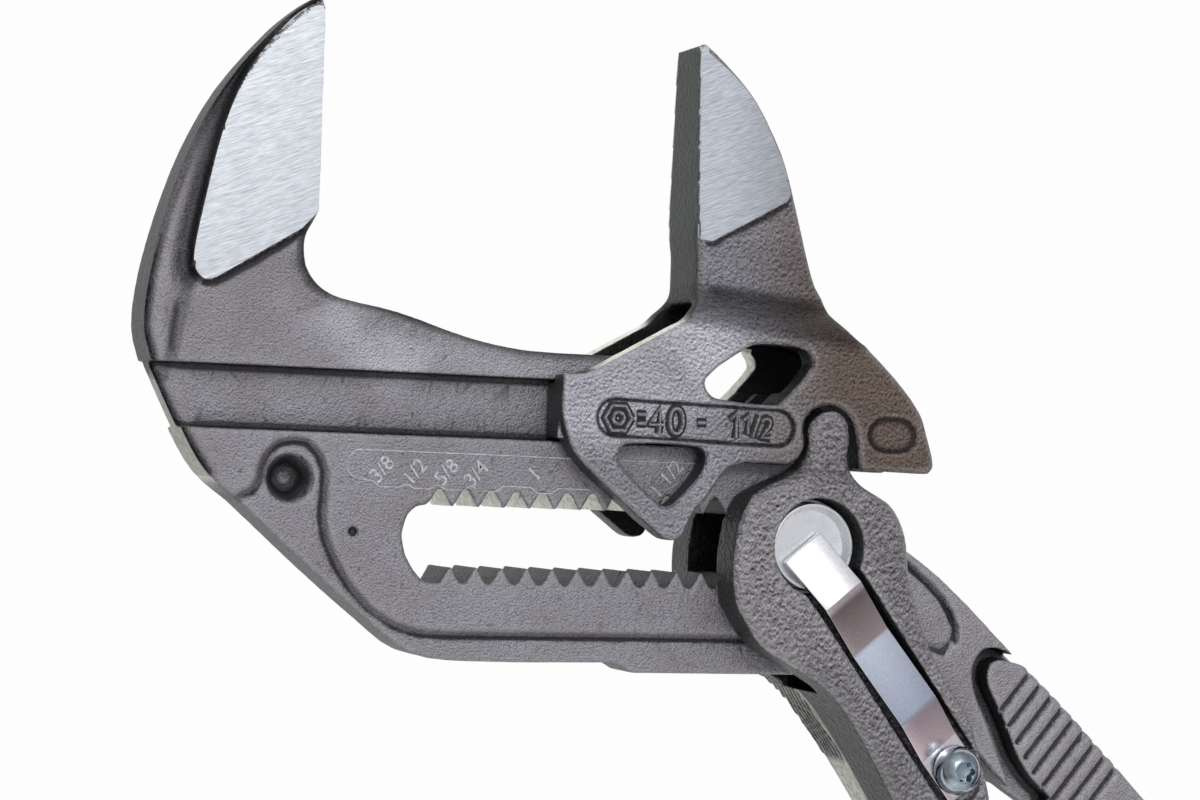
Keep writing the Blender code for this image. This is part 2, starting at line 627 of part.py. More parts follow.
def make_lever():
    path = follow(lever_path_shares)
    shoulders = with_shoulders(path)
    points = place(lever_back_shares) + place(lever_front_shares) + shoulders[::-1]
    lever = prism("lever", trace(points), -LEVER_FACE, LEVER_FACE, LEVER_EDGE)
    screw = spot(screw_shares)
    away = (screw - BOLT_AXIS).normalized()
    heights = (
        LEVER_FACE,
        INNER_FACE + LEVER_SEAT_WALL,
        INNER_FACE + LEVER_SEAT_WALL / 2,
        INNER_FACE + LEVER_END_WALL,
        CORE_HALF_HEIGHT,
    )
    distances = [share * JAW_OPENING for share in handle_fade_shares]
    factors = [height / LEVER_FACE for height in heights]
    taper(lever, BOLT_AXIS, away, list(zip(distances, factors)))
    near, far = [share * JAW_OPENING for share in neck_fade_shares]
    neck_factor = (INNER_FACE + LEVER_NECK_WALL) / LEVER_FACE
    taper(lever, BOLT_AXIS, Vector((0, 1, 0)), [(near, 1), (far, neck_factor)])
    carve(lever, prism("cutter", lever_box(), -INNER_FACE, INNER_FACE))
    through = LEVER_FACE + OVERRUN
    carve(lever, turned("cutter", BOLT_AXIS, [(LEVER_BORE, 0), (LEVER_BORE, through)]))
    rear_bore = BOLT_NECK_RADIUS + RUNNING_GAP
    carve(lever, turned("cutter", BOLT_AXIS, [(rear_bore, -through), (rear_bore, 0)]))
    counterbore = BUTTON_RADIUS + SLEEVE_GAP
    carve(lever, turned("cutter", BOLT_AXIS, [(counterbore, -through), (counterbore, BUTTON_SEAT)]))
    tip = spot(leaf_tip_shares)
    past = (screw - tip).normalized() * LEAF_END / 2
    pocket = stadium(tip.xy, (screw + past).xy, LEAF_WIDTH / 2 + POCKET_GAP)
    carve(lever, prism("cutter", pocket, POCKET_FLOOR, through))
    hole = SCREW_SHANK_RADIUS + SCREW_HOLE_GAP
    carve(lever, turned("cutter", screw, [(hole, 0), (hole, through)], ROUND_SIDES // 2))
    finish(lever, FORGED, BOLT_AXIS)


def make_bolt():
    profile = [(BOLT_RADIUS, BOLT_FOOT), (BOLT_RADIUS, HEAD_TOP)]
    bolt = turned("locking_bolt", BOLT_AXIS, profile)
    tip = SLOT_TIP_GAP / 2 - FLUTE_GAP
    root = SLOT_TIP_GAP / 2 + TOOTH_DEPTH + OVERRUN
    half = (TOOTH_PITCH - ROOT_FLAT) / 2 / TOOTH_DEPTH * (root - tip)
    for side in (-1, 1):
        for tooth in (-1, 0, 1):
            x = BOLT_X + tooth * TOOTH_PITCH
            mouth = BOLT_Y + side * root
            flute = [(x, BOLT_Y + side * tip), (x + half, mouth), (x - half, mouth)]
            carve(bolt, prism("cutter", flute, BOLT_FOOT - OVERRUN, FLUTE_TOP))
    mouth = HEAD_TOP + RUNNING_GAP
    dish = [(DISH_RADIUS, DISH_FLOOR), (DISH_MOUTH_RADIUS, HEAD_TOP), (DISH_MOUTH_RADIUS, mouth)]
    carve(bolt, turned("cutter", BOLT_AXIS, dish))
    neck_end = BUTTON_INNER + RUNNING_GAP
    neck = [(BOLT_NECK_RADIUS, neck_end), (BOLT_NECK_RADIUS, (BOLT_FOOT + DISH_FLOOR) / 2)]
    carve(bolt, turned("neck", BOLT_AXIS, neck), "UNION")
    peg = [(PEG_RADIUS, BUTTON_INNER - PEG_LENGTH), (PEG_RADIUS, neck_end + RUNNING_GAP)]
    carve(bolt, turned("peg", BOLT_AXIS, peg, ROUND_SIDES // 2), "UNION")
    finish(bolt, ZINC_PLATED, BOLT_AXIS)


def make_bush():
    ring = turned("bolt_bush", BOLT_AXIS, [(BUSH_RADIUS, INNER_FACE), (BUSH_RADIUS, POCKET_FLOOR)])
    bore = [(BUSH_BORE, INNER_FACE - OVERRUN), (BUSH_BORE, POCKET_FLOOR + OVERRUN)]
    carve(ring, turned("cutter", BOLT_AXIS, bore))
    finish(ring, ZINC_PLATED, BOLT_AXIS)


def make_button():
    rim = BUTTON_RADIUS - BUTTON_EDGE
    outer = BUTTON_INNER - BUTTON_HEIGHT
    profile = [(rim, outer), (BUTTON_RADIUS, outer + BUTTON_EDGE), (BUTTON_RADIUS, BUTTON_INNER)]
    button = turned("release_button", BOLT_AXIS, profile)
    socket = PEG_RADIUS + RUNNING_GAP
    bottom = BUTTON_INNER - PEG_LENGTH - RUNNING_GAP
    hole = [(socket, bottom), (socket, BUTTON_INNER + OVERRUN)]
    carve(button, turned("cutter", BOLT_AXIS, hole, ROUND_SIDES // 2))
    finish(button, ZINC_PLATED, BOLT_AXIS)


def make_leaf_spring():
    # A strip bent over the bolt's head, drawn from its side and pulled out to its width.
    screw = spot(screw_shares)
    leaf_line = spot(leaf_tip_shares) - screw
    run = leaf_line.length
    seat = POCKET_FLOOR + LEAF_SEAT_GAP
    tip = DISH_FLOOR + LEAF_SEAT_GAP
    crest = tip + LEAF_CREST_RISE
    heights = (seat, seat, crest - LEAF_DIP + LEAF_BACK_RISE, crest - LEAF_DIP, crest, tip)
    lengths = [-LEAF_END, LEAF_SEAT_LENGTH] + [share * run for share in leaf_bend_shares]
    lower = list(zip(lengths, heights))
    upper = [(x, z + LEAF_THICKNESS) for x, z in reversed(lower)]
    side = [(x, z) for x, z in lower + upper]
    leaf = prism("leaf_spring", side, -LEAF_WIDTH / 2, LEAF_WIDTH / 2)
    along = leaf_line.normalized()
    up = Vector((0, 0, 1))
    across = along.cross(up)
    frame = Matrix((along, up, across)).transposed().to_4x4()
    leaf.data.transform(Matrix.Translation(screw) @ frame)
    hole = SCREW_SHANK_RADIUS + LEAF_HOLE_GAP
    carve(leaf, turned("cutter", screw, [(hole, 0), (hole, LEVER_FACE + OVERRUN)], ROUND_SIDES // 2))
    finish(leaf, SPRING_STEEL, screw + up * (seat + LEAF_THICKNESS / 2))


def make_screw():
    screw = spot(screw_shares)
    under = POCKET_FLOOR + LEAF_THICKNESS + 2 * LEAF_SEAT_GAP
    foot = INNER_FACE + SCREW_HOLE_GAP
    profile = [
        (SCREW_SHANK_RADIUS, foot),
        (SCREW_SHANK_RADIUS, under),
        (SCREW_HEAD_RADIUS, under),
    ]
    for height_share, radius_share in dome_shares:
        profile.append((SCREW_HEAD_RADIUS * radius_share, under + SCREW_HEAD_HEIGHT * height_share))
    pin = turned("spring_screw", screw, profile, ROUND_SIDES // 2)
    star = []
    for point in range(STAR_POINTS * 4):
        angle = 2 * math.pi * point / (STAR_POINTS * 4)
        swing = (1 + math.cos(STAR_POINTS * angle)) / 2
        radius = STAR_RADIUS * (STAR_SHARE + (1 - STAR_SHARE) * swing)
        star.append((screw.x + radius * math.cos(angle), screw.y + radius * math.sin(angle)))
    top = under + SCREW_HEAD_HEIGHT
    carve(pin, prism("cutter", star, top - STAR_DEPTH, top + OVERRUN))
    finish(pin, ZINC_PLATED, screw)


def make_sleeve(name, shares, pivot):
    # A dipped sleeve: a rounded tube that swells from its mouth, closed at the far end.
    path = follow(shares)
    shape = bmesh.new()
    rings = []
    start = path[0][2] * SHOULDER_GAP
    for index, (point, normal, _) in enumerate(path):
        share = index / (len(path) - 1)
        growth = math.sin(math.pi * min(share * 2, 1) / 2)
        swell = SLEEVE_MOUTH_WALL + (SLEEVE_WALL - SLEEVE_MOUTH_WALL) * growth
        width = CORE_HALF_WIDTH + SLEEVE_GAP + swell
        depth = CORE_HALF_HEIGHT + SLEEVE_GAP + SLEEVE_DEPTH_WALL * swell / SLEEVE_WALL
        centre = point + start if index == 0 else point
        ring = []
        for side in range(SLEEVE_SIDES):
            angle = 2 * math.pi * (side + 1 / 2) / SLEEVE_SIDES
            across = math.copysign(abs(math.cos(angle)) ** SQUARE_SHARE, math.cos(angle)) * width
            rise = math.copysign(abs(math.sin(angle)) ** SQUARE_SHARE, math.sin(angle)) * depth
            spot_on = centre + normal * across
            ring.append(shape.verts.new((spot_on.x, spot_on.y, rise)))
        rings.append(ring)
    end, normal, along = path[-1]
    for share, shrink in end_shares:
        ring = []
        for vertex in rings[len(path) - 1]:
            middle = Vector((end.x, end.y, 0))
            offset = (vertex.co - middle) * shrink
            beyond = Vector((along.x, along.y, 0)) * SLEEVE_END_WALL * share
            ring.append(shape.verts.new(middle + offset + beyond))
        rings.append(ring)
    close_rings(shape, rings)
    sleeve = add_object(name, shape)
    gap = CORE_HALF_WIDTH + SLEEVE_GAP
    cavity = handle_outline(path, gap)
    first = path[0][2] * OVERRUN
    cavity[0] = (cavity[0][0] - first.x, cavity[0][1] - first.y, True)
    cavity[-1] = (cavity[-1][0] - first.x, cavity[-1][1] - first.y, True)
    last = len(path)
    far = path[-1][2] * SLEEVE_GAP
    for index in (last - 1, last):
        cavity[index] = (cavity[index][0] + far.x, cavity[index][1] + far.y, True)
    height = CORE_HALF_HEIGHT + SLEEVE_GAP
    carve(sleeve, prism("cutter", [point[:2] for point in cavity], -height, height))
    finish(sleeve, DIPPED_SLEEVE, pivot)


for item in list(bpy.data.objects):
    bpy.data.objects.remove(item)

make_fixed_jaw()
make_sliding_jaw()
make_lever()
make_bolt()
make_bush()
make_button()
make_leaf_spring()
make_screw()
make_sleeve("fixed_handle_sleeve", fixed_path_shares, None)
make_sleeve("lever_handle_sleeve", lever_path_shares, BOLT_AXIS)
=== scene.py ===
import math

import bmesh
import bpy
import numpy as np
from mathutils import Matrix, Vector


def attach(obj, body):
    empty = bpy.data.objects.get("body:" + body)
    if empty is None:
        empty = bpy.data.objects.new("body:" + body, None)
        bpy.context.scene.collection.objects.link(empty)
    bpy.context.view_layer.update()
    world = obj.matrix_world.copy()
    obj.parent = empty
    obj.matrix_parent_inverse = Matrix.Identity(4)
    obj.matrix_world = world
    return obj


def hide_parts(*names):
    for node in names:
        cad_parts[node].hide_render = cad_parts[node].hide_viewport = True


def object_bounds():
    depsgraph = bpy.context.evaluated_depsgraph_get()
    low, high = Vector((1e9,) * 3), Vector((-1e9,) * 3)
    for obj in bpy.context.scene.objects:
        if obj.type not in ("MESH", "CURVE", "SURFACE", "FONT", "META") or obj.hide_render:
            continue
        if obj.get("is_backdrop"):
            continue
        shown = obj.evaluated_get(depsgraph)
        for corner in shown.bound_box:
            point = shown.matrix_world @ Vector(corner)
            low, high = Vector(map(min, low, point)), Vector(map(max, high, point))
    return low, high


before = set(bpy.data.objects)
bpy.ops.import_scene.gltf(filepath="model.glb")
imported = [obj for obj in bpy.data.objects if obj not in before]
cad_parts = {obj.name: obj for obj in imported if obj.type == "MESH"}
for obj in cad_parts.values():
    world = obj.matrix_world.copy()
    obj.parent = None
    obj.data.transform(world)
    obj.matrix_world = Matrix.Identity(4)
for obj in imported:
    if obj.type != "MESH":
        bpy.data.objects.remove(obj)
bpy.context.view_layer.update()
mm = 0.001
print("frame loaded:", len(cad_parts), "nodes")


def linear(hexColour):
    # sRGB hex to the linear values that Blender's sockets take
    parts = [int(hexColour[i:i + 2], 16) / 255 for i in (1, 3, 5)]
    return [p / 12.92 if p <= 0.04045 else ((p + 0.055) / 1.055) ** 2.4 for p in parts] + [1]


def addNode(tree, kind, inputs=None, stops=None, **settings):
    # one node with its settings; an input is a value, a hex colour or the socket that feeds it
    node = tree.nodes.new(kind)
    for name, value in settings.items():
        setattr(node, name, value)
    for name, value in (inputs or {}).items():
        if isinstance(value, bpy.types.NodeSocket):
            tree.links.new(value, node.inputs[name])
        elif isinstance(value, str) and value.startswith("#"):
            node.inputs[name].default_value = linear(value)
        else:
            node.inputs[name].default_value = value
    if stops:  # of a colour ramp: place, and value or hex colour
        elements = node.color_ramp.elements
        while len(elements) < len(stops):
            elements.new(0.5)
        for element, (place, value) in zip(elements, stops):
            element.position = place
            element.color = linear(value) if isinstance(value, str) else (value, value, value, 1)
    return node


def newMaterial(name):
    material = bpy.data.materials.new(name)
    material.use_nodes = True
    tree = material.node_tree
    return material, tree, tree.nodes["Principled BSDF"]


def blotches(place, size, detail, roughness):
    # the inputs of a noise; size is the real width of one blotch, in mm
    return {"Vector": place, "Scale": 1 / (size * mm), "Detail": detail, "Roughness": roughness}


def alongX(tree, place, span, low=0.0, high=1.0):
    # runs from low to high between two places along X, in mm
    x = addNode(tree, "ShaderNodeSeparateXYZ", {"Vector": place}).outputs["X"]
    inputs = {"Value": x, "From Min": span[0] * mm, "From Max": span[1] * mm, "To Min": low, "To Max": high}
    return addNode(tree, "ShaderNodeMapRange", inputs).outputs["Result"]


def layOver(tree, colour, layers):
    # lays each colour over the ones before it, as far as its factor says
    for factor, over in layers:
        inputs = {0: factor, 6: colour, 7: over}
        colour = addNode(tree, "ShaderNodeMix", inputs, data_type="RGBA").outputs[2]
    return colour


# Drop-forged chrome-vanadium steel, shot-blasted and phosphated: a dull grey-brown skin with a fine
# pebbled grain. Painted shade makes its walls, hollows and inward faces near black; ground pads and
# trimmed walls are bare metal.
# grain, pits, pocks, blotch, streak: size in mm, detail, roughness of a noise. The lists are ramps.
forgedLook = {
    "skin": [(0.35, "#9f9b9f"), (0.65, "#adabb0")], "speckle": [(0.30, 0.66), (0.5, 0.95), (0.64, 1.0)],
    "brownShade": "#7c6d63", "brownShadeFrom": None, "padShadeSpan": None, "padShadeDim": 0.6,
    "paintedShade": "#232221", "pocked": [(0.68, 0.0), (0.76, 0.35)], "sunk": [(0.22, 0.85), (0.44, 0.0)],
    "rubbed": "#b4b2b4", "lifted": [(0.62, 0.0), (0.90, 0.35)], "inner": "#232524",
    "shadedWall": [(0.35, "#333635"), (0.62, "#4d504f")], "bare": [(0.35, "#b1b5a9"), (0.60, "#d6d9cd")],
    "brushed": [(0.3, "#9b9ea3"), (0.52, "#c9ccd1"), (0.75, "#eeeff2")],
    "grain": (0.22, 3, 0.6), "pits": (0.7, 2, 0.5), "pocks": (0.8, 1, 0.5), "blotch": (9.0, 3, 0.6),
    "grainDepth": 0.14, "pitDepth": 0.16, "paintedReliefLight": 1.7, "metallic": 0.7,
    "rough": [(0.3, 0.32), (0.7, 0.52)], "groundRoughness": 0.34,
    "streak": (0.09, 4, 0.7), "streakLength": 1.8, "streakAngle": 22, "streakDepth": 0.008,
}


def makeForgedMaterial(name, look):
    material, tree, shader = newMaterial(name)
    place = addNode(tree, "ShaderNodeTexCoord").outputs["Object"]
    noise = {}
    for label in ("grain", "pits", "pocks", "blotch"):
        noise[label] = addNode(tree, "ShaderNodeTexNoise", blotches(place, *look[label])).outputs["Fac"]
    painted = {}
    for label in ("bulge", "ground", "side", "bare", "inner", "shadeAndTone"):
        painted[label] = addNode(tree, "ShaderNodeAttribute", attribute_name=label).outputs["Fac"]
    fields = {
        "skin": noise["blotch"], "speckle": noise["grain"], "pocked": noise["pocks"], "shadedWall": noise["grain"],
        "bare": noise["pits"], "rough": noise["grain"], "lifted": painted["bulge"], "sunk": painted["bulge"],
    }
    ramp = {}
    for label, field in fields.items():
        ramp[label] = addNode(tree, "ShaderNodeValToRGB", {"Fac": field}, look[label]).outputs["Color"]
    isGround = {0: painted["ground"], 1: 0.5}
    isGround = addNode(tree, "ShaderNodeMath", isGround, operation="GREATER_THAN").outputs[0]

    skin = ramp["skin"]
    # darker and browner towards +X: partly the skin's own colour, partly painted shade
    if look["brownShadeFrom"]:
        skin = layOver(tree, skin, [(alongX(tree, place, look["brownShadeFrom"]), look["brownShade"])])
    speckled = {0: 1.0, 6: skin, 7: ramp["speckle"]}
    skin = addNode(tree, "ShaderNodeMix", speckled, data_type="RGBA", blend_type="MULTIPLY").outputs[2]
    # painted light and shade: the grain's slope upwards brightens and darkens the colour, more strongly than
    # its bump alone does
    above = {0: place, 1: (0, look["grain"][0] * 0.4 * mm, 0)}
    above = addNode(tree, "ShaderNodeVectorMath", above, operation="ADD").outputs[0]
    higher = addNode(tree, "ShaderNodeTexNoise", blotches(above, *look["grain"])).outputs["Fac"]
    slope = addNode(tree, "ShaderNodeMath", {0: noise["grain"], 1: higher}, operation="SUBTRACT").outputs[0]
    lit = {0: slope, 1: look["paintedReliefLight"], 2: 1.0}
    lit = addNode(tree, "ShaderNodeMath", lit, operation="MULTIPLY_ADD").outputs[0]
    skin = addNode(tree, "ShaderNodeVectorMath", {0: skin, "Scale": lit}, operation="SCALE").outputs[0]
    # dark pocks: pits with their shade painted in; paler where the skin stands out and is rubbed
    skin = layOver(tree, skin, [(ramp["pocked"], look["paintedShade"]), (ramp["lifted"], look["rubbed"])])
    # walls get a painted shade, near black, except where they are trimmed bare
    shadedWall = layOver(tree, ramp["shadedWall"], [(painted["bare"], ramp["bare"])])
    # painted shade and tone from the paint step, on skin and walls alike
    shadeAndTone = painted["shadeAndTone"]
    skin = addNode(tree, "ShaderNodeVectorMath", {0: skin, "Scale": shadeAndTone}, operation="SCALE").outputs[0]
    shadedWall = addNode(tree, "ShaderNodeVectorMath", {0: shadedWall, "Scale": shadeAndTone}, operation="SCALE").outputs[0]
    # painted shade in the hollows, where the skin is not bare
    covered = addNode(tree, "ShaderNodeMath", {0: 1.0, 1: painted["bare"]}, operation="SUBTRACT").outputs[0]
    dark = addNode(tree, "ShaderNodeMath", {0: ramp["sunk"], 1: covered}, operation="MULTIPLY").outputs[0]

    turned = {"Vector": place, "Rotation": (0, 0, math.radians(-look["streakAngle"]))}
    turned = addNode(tree, "ShaderNodeMapping", turned).outputs["Vector"]
    squeezed = {"Vector": turned, "Scale": (look["streak"][0] / look["streakLength"], 1, 1)}
    squeezed = addNode(tree, "ShaderNodeMapping", squeezed).outputs["Vector"]
    streak = addNode(tree, "ShaderNodeTexNoise", blotches(squeezed, *look["streak"])).outputs["Fac"]
    brushed = addNode(tree, "ShaderNodeValToRGB", {"Fac": streak}, look["brushed"]).outputs["Color"]
    # painted shade: the pad darker towards +X
    if look["padShadeSpan"]:
        padShading = {0: brushed, "Scale": alongX(tree, place, look["padShadeSpan"], 1.0, look["padShadeDim"])}
        brushed = addNode(tree, "ShaderNodeVectorMath", padShading, operation="SCALE").outputs[0]
    # walls, painted shade in hollows and on inward faces, and the ground pad, laid over the skin
    colour = layOver(tree, skin, [
        (painted["side"], shadedWall), (dark, look["paintedShade"]), (painted["inner"], look["inner"]),
        (isGround, brushed),
    ])
    tree.links.new(colour, shader.inputs["Base Color"])

    rough = layOver(tree, ramp["rough"], [(isGround, [look["groundRoughness"]] * 3 + [1])])
    tree.links.new(rough, shader.inputs["Roughness"])
    metal = addNode(tree, "ShaderNodeMath", {0: isGround, 1: painted["bare"]}, operation="MAXIMUM").outputs[0]
    metallic = layOver(tree, [look["metallic"]] * 3 + [1], [(metal, [1, 1, 1, 1])])
    tree.links.new(metallic, shader.inputs["Metallic"])

    rest = addNode(tree, "ShaderNodeMath", {0: 1.0, 1: isGround}, operation="SUBTRACT").outputs[0]
    heights = [
        (noise["pits"], look["pitDepth"], rest), (noise["grain"], look["grainDepth"], rest),
        (streak, look["streakDepth"], isGround),
    ]
    bump = {}
    for height, depth, strength in heights:
        bump.update({"Height": height, "Distance": depth * mm, "Strength": strength})
        bump["Normal"] = addNode(tree, "ShaderNodeBump", bump).outputs["Normal"]
    tree.links.new(bump["Normal"], shader.inputs["Normal"])
    return material


def mergedCopy(node, name, flat=True):
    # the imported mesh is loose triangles: a welded copy of it, with flat faces whole again
    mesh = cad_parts[node].data.copy()
    mesh.materials.clear()
    piece = bpy.data.objects.new(name, mesh)
    bpy.context.scene.collection.objects.link(piece)
    shape = bmesh.new()
    shape.from_mesh(mesh)
    bmesh.ops.remove_doubles(shape, verts=shape.verts, dist=0.001 * mm)
    if flat:
        bmesh.ops.dissolve_limit(shape, angle_limit=math.radians(0.3), verts=shape.verts, edges=shape.edges)
    shape.to_mesh(mesh)
    shape.free()
    return piece


def bake(piece):
    # modifiers turned into a plain mesh
    graph = bpy.context.evaluated_depsgraph_get()
    mesh = bpy.data.meshes.new_from_object(piece.evaluated_get(graph))
    piece.modifiers.clear()
    old = piece.data
    piece.data = mesh
    bpy.data.meshes.remove(old)
    mesh.name = piece.name


def hand(piece, node, body):
    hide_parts(node)
    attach(piece, body)


def readPoints(mesh):
    points = np.empty(len(mesh.vertices) * 3, np.float32)
    mesh.vertices.foreach_get("co", points)
    return points.reshape(-1, 3)


def lineDistance(points, line, closed=False):
    # how far each point lies from a line of corners in X and Y, in mm
    p = points[:, :2] / mm
    corners = np.array(line, float)
    ends = np.roll(corners, -1, axis=0) if closed else corners[1:]
    nearest = np.full(len(p), 1e9)
    for a, b in zip(corners, ends):
        edge = b - a
        along = np.clip(((p - a) @ edge) / max(edge @ edge, 1e-9), 0, 1)
        nearest = np.minimum(nearest, np.linalg.norm(p - (a + along[:, None] * edge), axis=1))
    return nearest


def insideDistance(points, outline):
    # how far each point lies inside an outline, in mm; negative outside
    p = points[:, :2] / mm
    corners = np.array(outline, float)
    inside = np.zeros(len(p), bool)
    for a, b in zip(corners, np.roll(corners, -1, axis=0)):
        crosses = (a[1] > p[:, 1]) != (b[1] > p[:, 1])
        rise = b[1] - a[1] if b[1] != a[1] else 1e-9
        inside ^= crosses & (p[:, 0] < a[0] + (p[:, 1] - a[1]) * (b[0] - a[0]) / rise)
    nearest = lineDistance(points, outline, closed=True)
    return np.where(inside, nearest, -nearest)


def ease(values, low, high):
    # 0 at low, 1 at high, with soft ends; low may be the greater of the two
    share = np.clip((values - low) / (high - low), 0, 1)
    return share * share * (3 - 2 * share)


def edgePairs(mesh):
    pairs = np.empty(len(mesh.edges) * 2, np.int32)
    mesh.edges.foreach_get("vertices", pairs)
    return pairs.reshape(-1, 2).T


def relax(points, pairs, weights, steps):
    # moves each point towards the middle of its neighbours, by its weight
    a, b = pairs[:, (weights[pairs] > 0.001).any(axis=0)]
    others = np.concatenate([b, a])
    used, index, count = np.unique(np.concatenate([a, b]), return_inverse=True, return_counts=True)
    moved = points.astype(float)
    for _ in range(steps):
        near = moved[others]
        total = np.stack([np.bincount(index, near[:, axis]) for axis in range(3)], axis=1)
        moved[used] += weights[used, None] * (total / count[:, None] - moved[used])
    return moved


def faceWay(mesh):
    # the normal at each vertex
    normals = np.empty(len(mesh.vertices) * 3, np.float32)
    mesh.vertex_normals.foreach_get("vector", normals)
    return normals.reshape(-1, 3)


def bulge(mesh, steps):
    # how far each vertex stands off its blurred place: more on edges, less in hollows
    points = readPoints(mesh).astype(float)
    blurred = relax(points, edgePairs(mesh), np.ones(len(points)), steps)
    return ((points - blurred) * faceWay(mesh)).sum(axis=1)


def setAttribute(mesh, name, values):
    attribute = mesh.attributes.new(name, "FLOAT", "POINT")
    attribute.data.foreach_set("value", np.ascontiguousarray(values, np.float32))


def newTree(name, sizes):
    # a Geometry Nodes tree whose inputs are a geometry, the named sizes and a material
    tree = bpy.data.node_groups.new(name, "GeometryNodeTree")
    sockets = tree.interface
    sockets.new_socket("Geometry", in_out="INPUT", socket_type="NodeSocketGeometry")
    for label in sizes:
        sockets.new_socket(label, in_out="INPUT", socket_type="NodeSocketFloat")
    sockets.new_socket("Material", in_out="INPUT", socket_type="NodeSocketMaterial")
    sockets.new_socket("Geometry", in_out="OUTPUT", socket_type="NodeSocketGeometry")
    return tree, addNode(tree, "NodeGroupInput").outputs


def closeTree(tree, given, geometry):
    # the tree ends in real geometry with its material on it
    real = addNode(tree, "GeometryNodeRealizeInstances", {"Geometry": geometry}).outputs[0]
    painted = addNode(tree, "GeometryNodeSetMaterial", {"Geometry": real, "Material": given["Material"]})
    addNode(tree, "NodeGroupOutput", {"Geometry": painted.outputs[0]})
    return tree


def makeSkinTree():
    # Geometry Nodes: lays the uneven skin of a forging over a dense mesh, where "rough" is 1
    tree, given = newTree("forgedSkin", ("Ripple Size", "Ripple Height", "Dent Size", "Dent Height"))
    place = addNode(tree, "GeometryNodeInputPosition").outputs[0]
    lifts = []
    for label in ("Ripple", "Dent"):
        scale = {0: 1.0, 1: given[label + " Size"]}
        scale = addNode(tree, "ShaderNodeMath", scale, operation="DIVIDE").outputs[0]
        wave = {"Vector": place, "Scale": scale, "Detail": 2.0}
        wave = addNode(tree, "ShaderNodeTexNoise", wave).outputs[0]
        wave = addNode(tree, "ShaderNodeMath", {0: wave, 1: 0.5}, operation="SUBTRACT").outputs[0]
        lift = {0: wave, 1: given[label + " Height"]}
        lifts.append(addNode(tree, "ShaderNodeMath", lift, operation="MULTIPLY").outputs[0])
    offset = addNode(tree, "ShaderNodeMath", {0: lifts[0], 1: lifts[1]}, operation="ADD").outputs[0]
    rough = addNode(tree, "GeometryNodeInputNamedAttribute", {"Name": "rough"}, data_type="FLOAT").outputs[0]
    offset = addNode(tree, "ShaderNodeMath", {0: offset, 1: rough}, operation="MULTIPLY").outputs[0]
    normal = addNode(tree, "GeometryNodeInputNormal").outputs[0]
    move = addNode(tree, "ShaderNodeVectorMath", {0: normal, "Scale": offset}, operation="SCALE").outputs[0]
    moved = addNode(tree, "GeometryNodeSetPosition", {"Geometry": given["Geometry"], "Offset": move})
    smooth = addNode(tree, "GeometryNodeSetShadeSmooth", {"Geometry": moved.outputs[0]})
    return closeTree(tree, given, smooth.outputs[0])


def useTree(piece, tree, values):
    # sets a Geometry Nodes modifier's named inputs by their identifiers
    modifier = piece.modifiers.new(tree.name, "NODES")
    modifier.node_group = tree
    for item in tree.interface.items_tree:
        if item.in_out == "INPUT" and item.name in values:
            modifier[item.identifier] = values[item.name]
    return modifier


skinTree = makeSkinTree()
forgedSteel = makeForgedMaterial("forgedSteel", forgedLook)
# the sliding jaw: coarser grain, darker and browner towards +X, and painted shade across its pad
slidingLook = {
    **forgedLook, "skin": [(0.35, "#9c9a9f"), (0.65, "#adacb3")], "grain": (0.36, 3, 0.6), "grainDepth": 0.28,
    "paintedReliefLight": 2.5, "brownShadeFrom": (44, 55), "padShadeSpan": (43, 52),
}
slidingSteel = makeForgedMaterial("forgedSteelShadedBrown", slidingLook)
leverLook = {
    **forgedLook, "skin": [(0.35, "#a19e9f"), (0.65, "#aeabae")], "grain": (0.5, 3, 0.6), "grainDepth": 0.42,
    "pitDepth": 0.25, "paintedReliefLight": 3.4,
}
leverSteel = makeForgedMaterial("forgedSteelCoarse", leverLook)

# Sizes in mm. probe: step by which the way of an outline's edge is felt. snap: how near the edge of the
# pad a vertex is drawn onto it.
forging = {
    "voxel": 0.2, "smoothing": 3, "rounding": 0.5, "crispHold": 0.85, "softening": 0.7,
    "blurSteps": 12, "bulgeSpan": 0.10, "probe": 0.02, "snap": 0.12, "mostTriangles": 196000,
    "skin": {"Ripple Size": 2.2, "Ripple Height": 0.025, "Dent Size": 0.8, "Dent Height": 0.02},
}


def curveThrough(corners, steps=3):
    # a smooth curve through corners, as short straight lines
    spots = np.array([corners[0]] + corners + [corners[-1]], float)
    line = []
    for a, b, c, d in zip(spots, spots[1:], spots[2:], spots[3:]):
        for t in np.arange(steps) / steps:
            square = (2 * a - 5 * b + 4 * c - d) * t ** 2
            cube = (3 * b - a - 3 * c + d) * t ** 3
            line.append(tuple((2 * b + (c - a) * t + square + cube) / 2))
    return line + [corners[-1]]


fixedPad = [(-0.2, -9.9), (-1.8, -11.7)] + curveThrough([
    (-10.2, -17.0), (-11.3, -17.2), (-12.2, -16.3), (-12.4, -14.6), (-11.6, -10.0), (-9.9, -2.4),
    (-7.7, 3.1), (-5.0, 7.0), (-2.6, 9.6), (-0.8, 10.6),
]) + [(-0.5, 12), (3, 12), (3, -9.9)]
slidingPad = [(37, 12), (37, -9.9), (41.5, -10.3), (49.9, -5.65)] + curveThrough([
    (50.3, -4.9), (49.8, -2.5), (48.2, 1.0), (46.3, 4.4), (43.9, 7.0), (40.9, 9.3),
]) + [(40.9, 12)]
spine = [
    (-10.2, -35.9), (-12.6, -32.2), (-15.9, -25.6), (-16.9, -22.0), (-16.5, -17.0), (-15.2, -11.2),
    (-12.9, -4.4), (-9.7, 1.9), (-4.8, 8.0), (-1.9, 10.6), (-0.5, 11.3),
]
